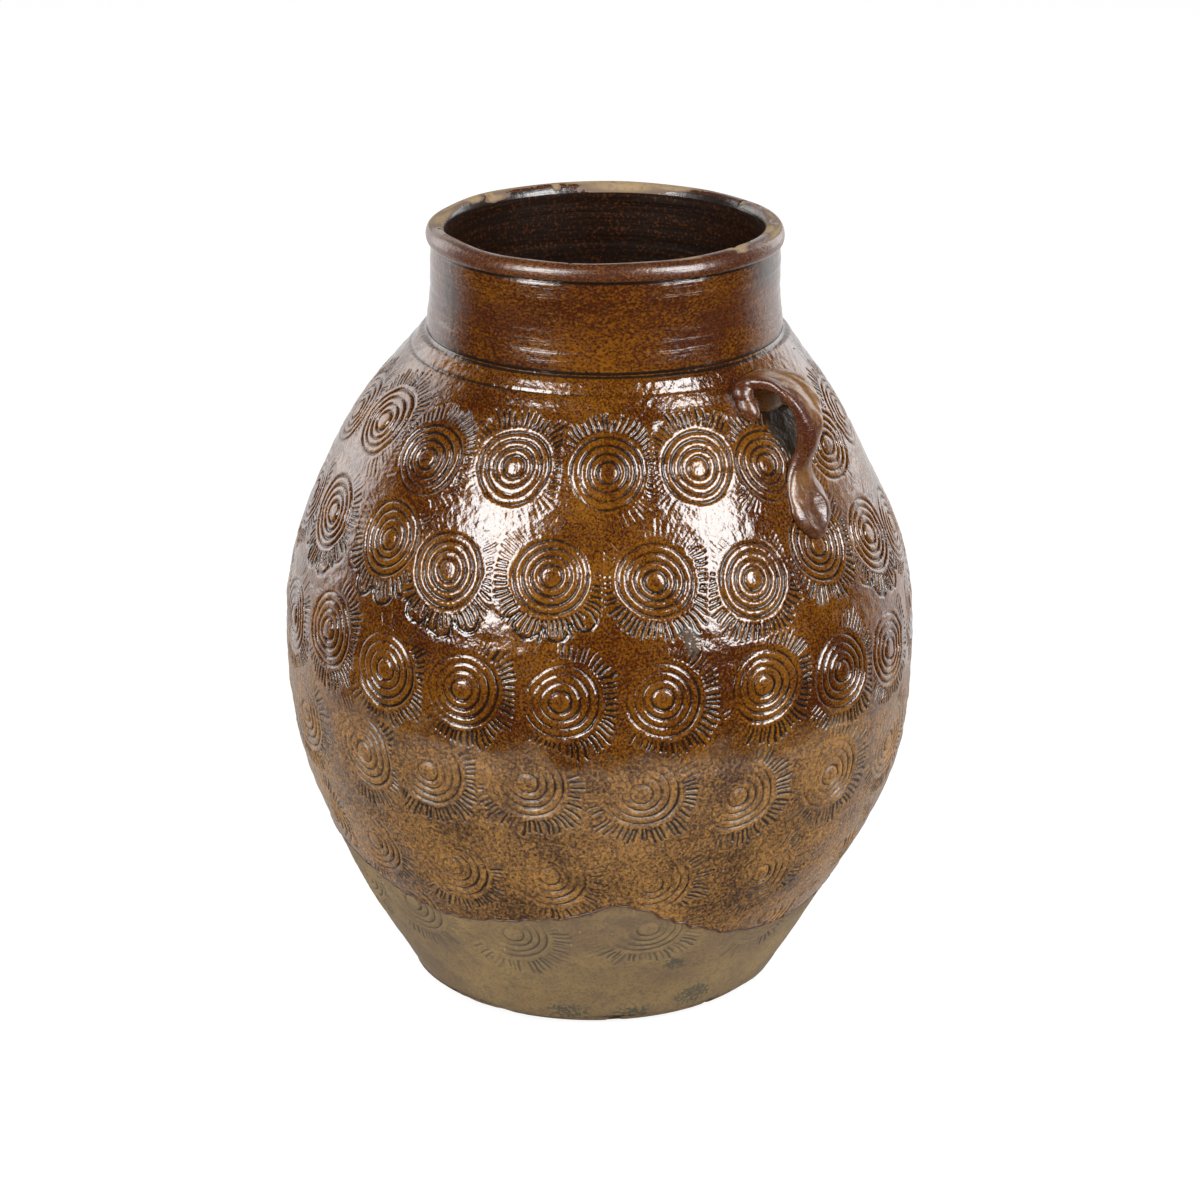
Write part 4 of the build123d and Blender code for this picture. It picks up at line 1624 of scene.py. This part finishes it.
# The ears
@dataclass
class Ear:
    """A loop of clay luted to the shoulder: a broad root, a strap and a thumb-pressed tail.

    Attributes:
        side: near or far, as in the solids' names.
        turn: the turn of the ear's middle.
        reach_shift: how much further out the loop stands than the near ear's.
        seed: seed of the hand's unevenness.
        voxel: size of the grid in which strap and pads grow together.
        ring_count: vertices round the strap.
        stations: radius, height, width, thickness and dishing of the strap, from its root to its tail.
        root_lumps: middle, half sizes and tilt of each lump of clay under the root.
        tail_height, tail_lumps: the same for the tail, with the radius counted from the wall at that height.
        thumb_radius, thumb_place, thumb_depth: the thumb's ball, where it pressed and how deep.
        thumb_stand: how far the tail's face stands off the wall there.
        unevenness: size and depth of the hand's unevenness.
        buried: how deep its ends reach into the wall.
    """

    side: str
    turn: float
    reach_shift: float
    seed: int
    voxel: float = 0.95
    ring_count: int = 40
    stations: tuple[tuple[float, float, float, float, float], ...] = (
        (116, 424, 50, 15, 0.0), (126, 430, 48, 14, 0.0), (136, 434.5, 44, 11.5, 0.6),
        (147, 434.8, 38, 10, 1.0), (158, 431, 34, 9.6, 1.0), (166, 423.5, 29, 10.4, 0.7),
        (171, 412.5, 21, 12.4, 0.2), (171, 400, 15.6, 12.6, 0.0), (167.5, 388, 16.5, 10.6, 0.0),
        (166.5, 377, 25, 9.2, 0.0), (171.2, 366, 34, 8.6, 0.0), (176.2, 356, 35, 7.6, 0.0),
        (180.2, 347.5, 25, 6.0, 0.0), (182.6, 342.5, 11, 4.0, 0.0))
    root_lumps: tuple[Lump, ...] = (
        ((128, 0, 425), (9.5, 26, 17), 50), ((137, -21.5, 422), (6.6, 6.8, 11.5), 42),
        ((133, -22, 430), (6.0, 6.5, 8), 45), ((136, 17, 424), (7.0, 10, 12), 42))
    tail_height: float = 358.0
    tail_lumps: tuple[Lump, ...] = (
        ((0.5, 0, 357), (5.4, 18.5, 17), 27), ((4.2, 0, 345.5), (4.2, 12, 8.5), 27))
    thumb_radius: float = 30.0
    thumb_place: Pair = (0.0, 357.0)
    thumb_depth: float = 4.2
    thumb_stand: float = 5.4
    unevenness: tuple[Pair, ...] = ((24, 0.45), (9, 0.16))
    buried: float = 5.0

    def frames(self) -> tuple[Array, Array, Array]:
        """Smooth stations along the loop, and its directions along and outward, in the ear's plane."""
        table = np.array(self.stations, float)
        loop_share = np.clip((table[:, 1] - 345) / 60, 0, 1) * np.clip((table[:, 0] - 130) / 30, 0, 1)
        table[:, 0] += self.reach_shift * loop_share
        run = run_along(table[:, :2])
        fine = spline_values(run, table, np.linspace(0, run[-1], 96))
        along = np.gradient(fine[:, :2], axis=0)
        along /= np.linalg.norm(along, axis=1, keepdims=True)
        outward = np.stack([-along[:, 1], along[:, 0]], axis=1)
        return fine, along, outward

    def strap(self) -> tuple[Array, Array]:
        """Vertices and faces of the loop in the ear's own frame of radius, side and height."""
        fine, _, outward = self.frames()
        angle = np.linspace(0, 2 * math.pi, self.ring_count, endpoint=False)
        across = np.sign(np.cos(angle)) * np.abs(np.cos(angle)) ** 0.85
        thick = np.sign(np.sin(angle)) * np.abs(np.sin(angle)) ** 0.8
        wide = fine[:, 2:3] / 2 * across[None, :]
        lift = fine[:, 3:4] / 2 * thick[None, :]
        lift = lift + fine[:, 4:5] * (2.4 * np.abs(across[None, :]) ** 3 - 0.9) * (thick[None, :] > -0.35)
        crease = np.exp(-((across[None, :] - 0.18) / 0.16) ** 2) * (thick[None, :] > 0)
        lift = lift - fine[:, 4:5] * 1.2 * crease
        lean = -2.2 * fine[:, 4:5] * across[None, :]
        radius = fine[:, 0:1] + outward[:, 0:1] * (lift + lean)
        height = fine[:, 1:2] + outward[:, 1:2] * (lift + lean)
        points = np.stack([radius, wide, height], axis=-1)
        numbers, faces = round_faces(*points.shape[:2])
        caps = [numbers[0].tolist(), numbers[-1][::-1].tolist()]
        return points.reshape(-1, 3), faces.reshape(-1, 4).tolist() + caps

    @staticmethod
    def lump(middle: Triple, half: Triple, tilt: float) -> tuple[Array, Faces]:
        """A rounded lump of clay.

        Args:
            middle: radius, side and height of its middle.
            half: its half sizes outward, sideways and upward, before the tilt.
            tilt: how far it leans back with the wall, in degrees.

        Returns:
            Vertices and faces.
        """
        rows, columns = 18, 28
        polar = np.linspace(0, math.pi, rows)[1:-1]
        round_angle = np.linspace(0, 2 * math.pi, columns, endpoint=False)
        outward = half[0] * np.sin(polar)[:, None] * np.cos(round_angle)[None, :]
        sideways = half[1] * np.sin(polar)[:, None] * np.sin(round_angle)[None, :]
        upward = half[2] * np.cos(polar)[:, None] * np.ones(columns)[None, :]
        local = np.stack([outward, sideways, upward], axis=-1).reshape(-1, 3)
        local = np.concatenate([local, [[0, 0, half[2]], [0, 0, -half[2]]]])
        lean = math.radians(tilt)
        turned = np.stack([local[:, 0] * math.cos(lean) - local[:, 2] * math.sin(lean), local[:, 1],
                           local[:, 0] * math.sin(lean) + local[:, 2] * math.cos(lean)], axis=1)
        numbers, faces = round_faces(rows - 2, columns)
        ahead, faces = np.roll(numbers, -1, axis=1), faces.reshape(-1, 4).tolist()
        top, bottom = len(local) - 2, len(local) - 1
        faces += [[int(numbers[0, i]), int(ahead[0, i]), top] for i in range(columns)]
        faces += [[int(ahead[-1, i]), int(numbers[-1, i]), bottom] for i in range(columns)]
        return turned + np.array(middle), faces

    def lumps(self) -> list[tuple[Array, Faces]]:
        """The pads under the loop's ends."""
        wall = float(OUTSIDE.radius(self.tail_height))
        made = [self.lump(*lump) for lump in self.root_lumps]
        return made + [self.lump((wall + stand, side, height), half, tilt)
                       for (stand, side, height), half, tilt in self.tail_lumps]

    def clay(self) -> bpy.types.Mesh:
        """Joins the strap and the lumps into one smooth skin."""
        points, faces = self.strap()
        for more, more_faces in self.lumps():
            start = len(points)
            points = np.concatenate([points, more])
            faces += [[n + start for n in face] for face in more_faces]
        mesh = bpy.data.meshes.new("ear_clay")
        mesh.from_pydata((points * MM).tolist(), [], faces)
        rough = new_object("ear_clay", mesh)
        remesh = rough.modifiers.new("join", "REMESH")
        remesh.mode = "VOXEL"
        remesh.voxel_size = self.voxel * MM
        smooth = rough.modifiers.new("smooth", "SMOOTH")
        smooth.factor = 0.5
        smooth.iterations = 7
        return settled_mesh(rough)

    def press_thumb(self, points: Array) -> Array:
        """Pushes the tail's face in where the potter's thumb pressed."""
        side, height = self.thumb_place
        _, _, out_r, out_h = (float(v) for v in OUTSIDE.at(OUTSIDE.reach(height)))
        surface = float(OUTSIDE.radius(height)) + self.thumb_stand
        deep = self.thumb_radius - self.thumb_depth
        middle = np.array([surface + out_r * deep, side, height + out_h * deep])
        offset = points - middle
        stretched = offset * np.array([1.0, 1.0 / 0.72, 1.0])
        distance = np.linalg.norm(stretched, axis=1, keepdims=True)
        inside = np.clip((self.thumb_radius - distance) / self.thumb_radius, 0, 1)
        outward = np.array([out_r, 0.0, out_h])
        return points - outward * inside * self.thumb_radius * 0.92

    def build(self, glaze: Material) -> Piece:
        """Makes the ear in its place on the shoulder."""
        mesh = self.clay()
        flat = np.empty(len(mesh.vertices) * 3, np.float32)
        mesh.vertices.foreach_get("co", flat)
        points = self.press_thumb(flat.reshape(-1, 3).astype(float) / MM)
        draw = np.random.default_rng(self.seed)
        for size, depth in self.unevenness:
            pace = draw.normal(0, 2 * math.pi / size, (3, 12))
            phase = draw.uniform(0, 2 * math.pi, 12)
            uneven = np.sin(points @ pace + phase).mean(axis=1, keepdims=True)
            points += depth * uneven * np.array([1.0, 0.4, 1.0]) * 2
        radius = np.hypot(points[:, 0], points[:, 1])
        height = points[:, 2]
        _, _, out_r, _ = OUTSIDE.at(OUTSIDE.reach(height))
        radius = np.maximum(radius, OUTSIDE.radius(height) - self.buried / out_r)
        stand = (radius - OUTSIDE.radius(height)) * out_r
        turns = np.degrees(np.arctan2(points[:, 1], points[:, 0])) + self.turn
        placed = place(turns, radius, height)
        mesh.vertices.foreach_set("co", placed.astype(np.float32).ravel())
        fine, _, _ = self.frames()
        apart = np.hypot(points[:, 0:1] - fine[None, :, 0], points[:, 2:3] - fine[None, :, 1])
        share = np.argmin(apart, axis=1) / (len(fine) - 1)
        # under marks the loop's inner side below its bend, facing the wall; 0.15 * bar * under in the pool
        # mark below paints shade there
        under = smooth_step(radius - self.reach_shift, 176, 168) * smooth_step(height, 425, 405)
        bar = bell(share - 0.55, 0.12)
        across = points[:, 1] / (0.5 * fine[np.argmin(apart, axis=1), 2])
        near_edge = smooth_step(-across, 0.35, 0.75) * smooth_step(share, 0.75, 0.6)
        # Painted highlight: a pale line along the strap's far edge, where the backdrop's reflection falls
        far_edge_highlight = smooth_step(across, 0.8, 0.95) * smooth_step(share, 0.7, 0.55)
        top_face = smooth_step(share, 0.12, 0.2) * smooth_step(share, 0.5, 0.4)
        top_face = top_face * smooth_step(-across, 0.5, 0.2)
        tail_face = 0.7 * np.exp(-0.5 * (((share - 0.74) / 0.05) ** 2 + ((across + 0.2) / 0.5) ** 2))
        red = bar * smooth_step(-across, -0.75, 0.2) + near_edge + 0.5 * smooth_step(share, 0.8, 0.9)
        # stain here darkens the tail's lowest end
        set_marks(mesh, neck_marks(
            np.zeros(len(points)), red=np.clip(red, 0, 1), stain=0.35 * smooth_step(share, 0.86, 0.95),
            pool=np.clip(np.exp(-((stand - 0.2) / 0.9) ** 2) + 0.15 * bar * under, 0, 1),
            pale=np.clip(0.8 * top_face + far_edge_highlight + tail_face, 0, 1)))
        mesh.polygons.foreach_set("use_smooth", np.ones(len(mesh.polygons), bool))
        mesh.materials.clear()
        mesh.materials.append(glaze)
        mesh.update()
        made = new_object(f"{self.side}_ear", mesh)
        mesh.name = made.name
        dress(made, GLAZED_SLOT, *(f"{self.side}_ear_{part}" for part in ("root", "strap", "tail")))
        return made


# What the kiln left, grown by Geometry Nodes
@dataclass(frozen=True)
class Grower:
    """Runs one Geometry Nodes tree on a mesh and keeps the result as a plain piece."""

    tree: bpy.types.NodeTree

    def grow(self, name: str, source: bpy.types.Mesh, values: dict[str, object]) -> Piece:
        """Grows a piece.

        Args:
            name: name of the piece.
            source: the mesh that the tree starts from.
            values: the tree's inputs by name.

        Returns:
            The piece, with a mesh of its own and no modifier.
        """
        seed = new_object(f"{name}_seed", source)
        modifier = seed.modifiers.new("grow", "NODES")
        modifier.node_group = self.tree
        for item in self.tree.interface.items_tree:
            if item.in_out == "INPUT" and item.name in values:
                modifier[item.identifier] = values[item.name]
        mesh = settled_mesh(seed)
        mesh.name = name
        return new_object(name, mesh)


@dataclass
class KilnGrit:
    """Small pale grains that fell on the wet glaze and melted in.

    Attributes:
        skin: the body's outside.
        density: grains per square metre.
        grain_radius: radius of a middling grain.
        flatness: a grain's height as a share of its width.
        seed: seed of the scatter.
        stride: rows and columns of the skin per face of the ground that the grains fall on.
        above_edge: how far over the glaze's lower end the grains begin.
        open_below: the most that a groove mark may be where a grain lies.
    """

    skin: BodySkin
    density: float = 260.0
    grain_radius: float = 0.55
    flatness: float = 0.55
    seed: int = 7
    stride: int = 3
    above_edge: float = 3.0
    open_below: float = 0.05

    def tree(self) -> bpy.types.NodeTree:
        """The tree that scatters grains over a surface."""
        inputs = {"Surface": (GEOMETRY, None), "Density": (FLOAT, 200.0), "Radius": (FLOAT, 0.0005),
                  "Flatness": (FLOAT, 0.5), "Seed": ("NodeSocketInt", 1),
                  "Finish": ("NodeSocketMaterial", None)}
        write, given, out = group("scatter_grains", inputs, {"Grains": GEOMETRY}, "GeometryNodeTree")
        points = write.values(write.add("GeometryNodeDistributePointsOnFaces", {
            "Mesh": given["Surface"], "Density": given["Density"], "Seed": given["Seed"]}))
        ball = {"Segments": 7, "Rings": 5, "Radius": given["Radius"]}
        grain = write.out("GeometryNodeMeshUVSphere", ball, "Mesh")
        spread = write.out("FunctionNodeRandomValue", {2: 0.35, 3: 1.6, "Seed": given["Seed"]}, 1)
        size = write.out("ShaderNodeCombineXYZ", {0: spread, 1: spread, 2: spread * given["Flatness"]})
        placed = write.out("GeometryNodeInstanceOnPoints", {
            "Points": points["Points"], "Instance": grain, "Rotation": points["Rotation"], "Scale": size})
        return write.give(out, Grains=write.settled(placed, given["Finish"]))

    def surface(self) -> bpy.types.Mesh:
        """The glazed skin outside the grooves, thinned out, for the grains to fall on."""
        thin = (slice(None, None, self.stride), slice(None, None, self.stride))
        edge, fringe, firm = (self.skin.marks[name][thin][:-1] for name in ("edge", "fringe", "firm"))
        points = self.skin.points[thin]
        open_skin = (edge > self.above_edge) & (fringe < self.open_below) & (firm < self.open_below)
        _, faces = round_faces(*points.shape[:2])
        mesh = bpy.data.meshes.new("grit_ground")
        mesh.from_pydata(points.reshape(-1, 3).tolist(), [], faces[..., [0, 3, 2, 1]][open_skin].tolist())
        return mesh

    def build(self, finish: Material) -> Piece:
        """Scatters the grains."""
        values = {"Density": self.density, "Radius": self.grain_radius * MM, "Flatness": self.flatness,
                  "Seed": self.seed, "Finish": finish}
        made = Grower(self.tree()).grow("kiln_grit", self.surface(), values)
        dress(made, GLAZED_SLOT)
        return made


@dataclass
class GlazeRoll:
    """The thick bead in which the lower dip of glaze ends, all the way round.

    Attributes:
        skin: the body's outside.
        radius: radius of the bead.
        swell: how much its radius varies.
        step: distance between its stations.
    """

    skin: BodySkin
    radius: float = 0.62
    swell: float = 0.45
    step: float = 1.6

    def tree(self) -> bpy.types.NodeTree:
        """The tree that sweeps an uneven bead along a path."""
        inputs = {"Path": (GEOMETRY, None), "Radius": (FLOAT, 0.0006), "Swell": (FLOAT, 0.4),
                  "Step": (FLOAT, 0.002), "Finish": ("NodeSocketMaterial", None)}
        write, given, out = group("sweep_bead", inputs, {"Bead": GEOMETRY}, "GeometryNodeTree")
        curve = write.out("GeometryNodeMeshToCurve", {"Mesh": given["Path"]})
        stations = {"Curve": curve, "Length": given["Step"]}
        even = write.out("GeometryNodeResampleCurve", stations, mode="LENGTH")
        noise = write.out("ShaderNodeTexNoise", {"Scale": 70.0, "Detail": 2.0}, "Fac")
        uneven = (noise - 0.5) * given["Swell"] * 4.0 + 1.0
        sized = write.out("GeometryNodeSetCurveRadius", {"Curve": even, "Radius": uneven})
        ring = write.out("GeometryNodeCurvePrimitiveCircle", {"Resolution": 7, "Radius": given["Radius"]})
        bead = write.out("GeometryNodeCurveToMesh", {"Curve": sized, "Profile Curve": ring, "Scale": uneven})
        return write.give(out, Bead=write.settled(bead, given["Finish"]))

    def path(self) -> bpy.types.Mesh:
        """A closed line on the skin, where the glaze ends."""
        edge = self.skin.marks["edge"]
        columns = np.arange(0, self.skin.columns, 2)
        row = np.argmax(edge[:, columns] > 0, axis=0)
        low, high = edge[row - 1, columns], edge[row, columns]
        share = (-low / (high - low))[:, None]
        points = self.skin.points[row - 1, columns] * (1 - share) + self.skin.points[row, columns] * share
        count = len(columns)
        mesh = bpy.data.meshes.new("glaze_end")
        mesh.from_pydata(points.tolist(), [(i, (i + 1) % count) for i in range(count)], [])
        return mesh

    def build(self, finish: Material) -> Piece:
        """Lays the bead."""
        values = {"Radius": self.radius * MM, "Swell": self.swell, "Step": self.step * MM, "Finish": finish}
        made = Grower(self.tree()).grow("glaze_roll", self.path(), values)
        dress(made, GLAZED_SLOT)
        return made


# The studio
def look(thing: Piece, target: Vector, turn: float, rise: float, distance: float) -> None:
    """Stands a lamp or the camera off a target and turns it to face it.

    Args:
        thing: the lamp's or camera's object.
        target: the place that it faces.
        turn: turn from the photographed side, in degrees.
        rise: angle over the floor, in degrees.
        distance: distance from the target.
    """
    angle, lift = math.radians(turn + VIEW_TURN), math.radians(rise)
    way = Vector((math.sin(angle) * math.cos(lift), -math.cos(angle) * math.cos(lift), math.sin(lift)))
    thing.location = target + way * distance
    thing.rotation_euler = way.to_track_quat("Z", "Y").to_euler()


@dataclass(frozen=True)
class Softbox:
    """A rectangular studio lamp that faces the jar.

    Attributes:
        name: name of the lamp.
        turn: turn from the photographed side, in degrees.
        rise: angle over the floor.
        width, height: size in metres.
        radiance: brightness of its face.
        sparkle: brightness that it adds in reflections alone.
        distance: distance from the jar in metres.
    """

    name: str
    turn: float
    rise: float
    width: float
    height: float
    radiance: float
    sparkle: float = 0.0
    distance: float = 2.6

    def build(self, target: Vector) -> None:
        """Hangs the lamp, and in front of it the one that only reflections see."""
        self.hang(target, self.name, self.radiance)
        if self.sparkle:
            self.hang(target, f"{self.name}_sparkle", self.sparkle).visible_diffuse = False

    def hang(self, target: Vector, name: str, radiance: float) -> Piece:
        """Makes one lamp.

        Args:
            target: the place that it faces.
            name: its name.
            radiance: brightness of its face.

        Returns:
            The lamp.
        """
        data = bpy.data.lights.new(name, "AREA")
        data.shape = "RECTANGLE"
        data.size, data.size_y = self.width, self.height
        data.energy = radiance * math.pi * self.width * self.height
        lamp = new_object(name, data)
        look(lamp, target, self.turn, self.rise, self.distance)
        lamp.visible_camera = False
        return lamp


@dataclass(frozen=True)
class Studio:
    """White table and backdrop, soft lamps, and the camera at the photograph's angle.

    Attributes:
        target_height: height that the camera and the lamps face, in metres.
        camera_rise, camera_distance, lens, sensor: the camera's angle, distance and optics.
        floor_size: side of the table in metres.
        table_grey, shown_grey, table_glow: the table's tone for light and for the camera, and its own light.
        fill: brightness of the surround.
        room_in_gloss, backdrop_in_gloss: brightness of the room and of the white backdrop in reflections.
    """

    target_height: float = 0.255
    camera_rise: float = 19.6
    camera_distance: float = 3.121
    lens: float = 141.0
    sensor: float = 36.0
    floor_size: float = 9.0
    table_grey: float = 0.8
    shown_grey: float = 0.24
    table_glow: float = 0.9
    fill: float = 0.3
    room_in_gloss: float = 0.015
    backdrop_in_gloss: float = 0.95
    lamps: tuple[Softbox, ...] = (
        Softbox("left_softbox", -44, 30, 1.0, 1.6, 6.4, 7.5),
        Softbox("right_softbox", 50, 30, 1.15, 1.6, 6.4, 7.5),
        Softbox("left_back_panel", -128, 18, 1.3, 1.9, 1.1),
        Softbox("right_back_panel", 138, 18, 1.3, 1.9, 1.1),
    )

    def build(self) -> None:
        """Sets the table, the world, the lamps and the camera."""
        target = Vector((0, 0, self.target_height))
        for lamp in self.lamps:
            lamp.build(target)
        self.table()
        self.world()
        self.camera(target)

    def table(self) -> None:
        """A white table that keeps a soft shadow."""
        half = self.floor_size / 2
        mesh = bpy.data.meshes.new("table")
        corners = [(-half, -half, 0), (half, -half, 0), (half, half, 0), (-half, half, 0)]
        mesh.from_pydata(corners, [], [(0, 1, 2, 3)])
        floor = new_object("table", mesh)
        material, write, _ = new_material("table_white")
        material.node_tree.nodes.clear()
        plain, shown = (write.out("ShaderNodeBsdfDiffuse", {"Color": (grey, grey, grey, 1)})
                        for grey in (self.table_grey, self.shown_grey))
        glow = write.out("ShaderNodeEmission", {"Color": (1, 1, 1, 1), "Strength": self.table_glow})
        both = write.out("ShaderNodeAddShader", {0: shown, 1: glow})
        seen = write.out("ShaderNodeLightPath", output="Is Camera Ray")
        mix = write.out("ShaderNodeMixShader", {0: seen, 1: plain, 2: both})
        write.add("ShaderNodeOutputMaterial", {"Surface": mix})
        mesh.materials.append(material)
        floor.visible_glossy = False

    def world(self) -> None:
        """A white surround to the camera, and a dim room with a white backdrop to reflections."""
        world = bpy.data.worlds.new("studio")
        bpy.context.scene.world = world
        world.use_nodes = True
        write = NodeTree(world.node_tree)
        surround = world.node_tree.nodes["Background"]
        surround.inputs["Color"].default_value = (1, 1, 1, 1)
        path = write.values(write.add("ShaderNodeLightPath"))
        seen = write.math("MAXIMUM", path["Is Camera Ray"], path["Is Transmission Ray"])
        way = write.out("ShaderNodeTexCoord", output="Generated")
        view = math.radians(VIEW_TURN)
        back = (-math.sin(view), math.cos(view), 0.0)
        behind = write.out("ShaderNodeVectorMath", {0: way, 1: back}, "Value", operation="DOT_PRODUCT")
        low = write.spread(write.out("ShaderNodeSeparateXYZ", {0: way}, 2), 0.75, 0.2)
        room = write.spread(behind, 0.12, 0.75) * low * self.backdrop_in_gloss + self.room_in_gloss
        dim = path["Is Glossy Ray"] * (room - self.fill)
        write.feed(surround.inputs["Strength"], write.math("MAXIMUM", seen, dim + self.fill))

    def camera(self, target: Vector) -> None:
        """The camera at the photograph's angle."""
        data = bpy.data.cameras.new("camera")
        data.lens, data.sensor_width = self.lens, self.sensor
        camera = new_object("camera", data)
        look(camera, target, 0.0, self.camera_rise, self.camera_distance)
        bpy.context.scene.camera = camera
        bpy.context.scene.view_settings.view_transform = "Standard"


def main() -> None:
    """Builds the jar from the foot up, then the studio."""
    logging.basicConfig(level=logging.INFO, format="%(message)s")
    lines, effects = GlazeLines(), Effects()
    outside, inside = StampedSkin().build(effects), InnerGlaze().build(effects)
    neck = NeckGlaze("neck_glaze", tone(158, 97, 10), tone(72, 27, 2), 0.34, 0.6).build(effects)
    ear = NeckGlaze("ear_glaze", tone(182, 122, 34), tone(112, 60, 16), 0.0, 1.0, 0.26).build(effects)
    rim = NeckGlaze("rim_glaze", tone(146, 90, 36), tone(80, 36, 14), 0.2, 0.7, 0.24).build(effects)
    roll = NeckGlaze("roll_glaze", tone(120, 66, 26), tone(74, 34, 14), 0.0, 1.0, 0.4).build(effects)

    skin = BodySkin(lines)
    rows = skin.band_rows
    Base(lines).build(outside, inside)
    heights = (SIZES.base_thickness, SIZES.lower_lap_height, SIZES.upper_lap_height, SIZES.body_height)
    bands = (("lower_wall", CLAY_SLOT, rows[0], rows[2], 14),
             ("belly_wall", GLAZED_SLOT, rows[2], rows[3], 16),
             ("shoulder_wall", GLAZED_SLOT, rows[3], rows[4], 50))
    for (node, slot, first, last, inner_rows), low, high in zip(bands, heights[:-1], heights[1:]):
        WallBand(node, slot, first, last, low, high, inner_rows, skin).build([outside, inside])
    GlazeRoll(skin).build(roll)
    KilnGrit(skin).build(GritFinish().build(effects))
    Neck(lines).build(neck, inside)
    Rim().build(rim, inside)
    Ear("near", 90.0, 0.0, 81).build(ear)
    Ear("far", -102.0, -3.0, 82).build(ear)
    Studio().build()


if __name__ == "__main__":
    main()
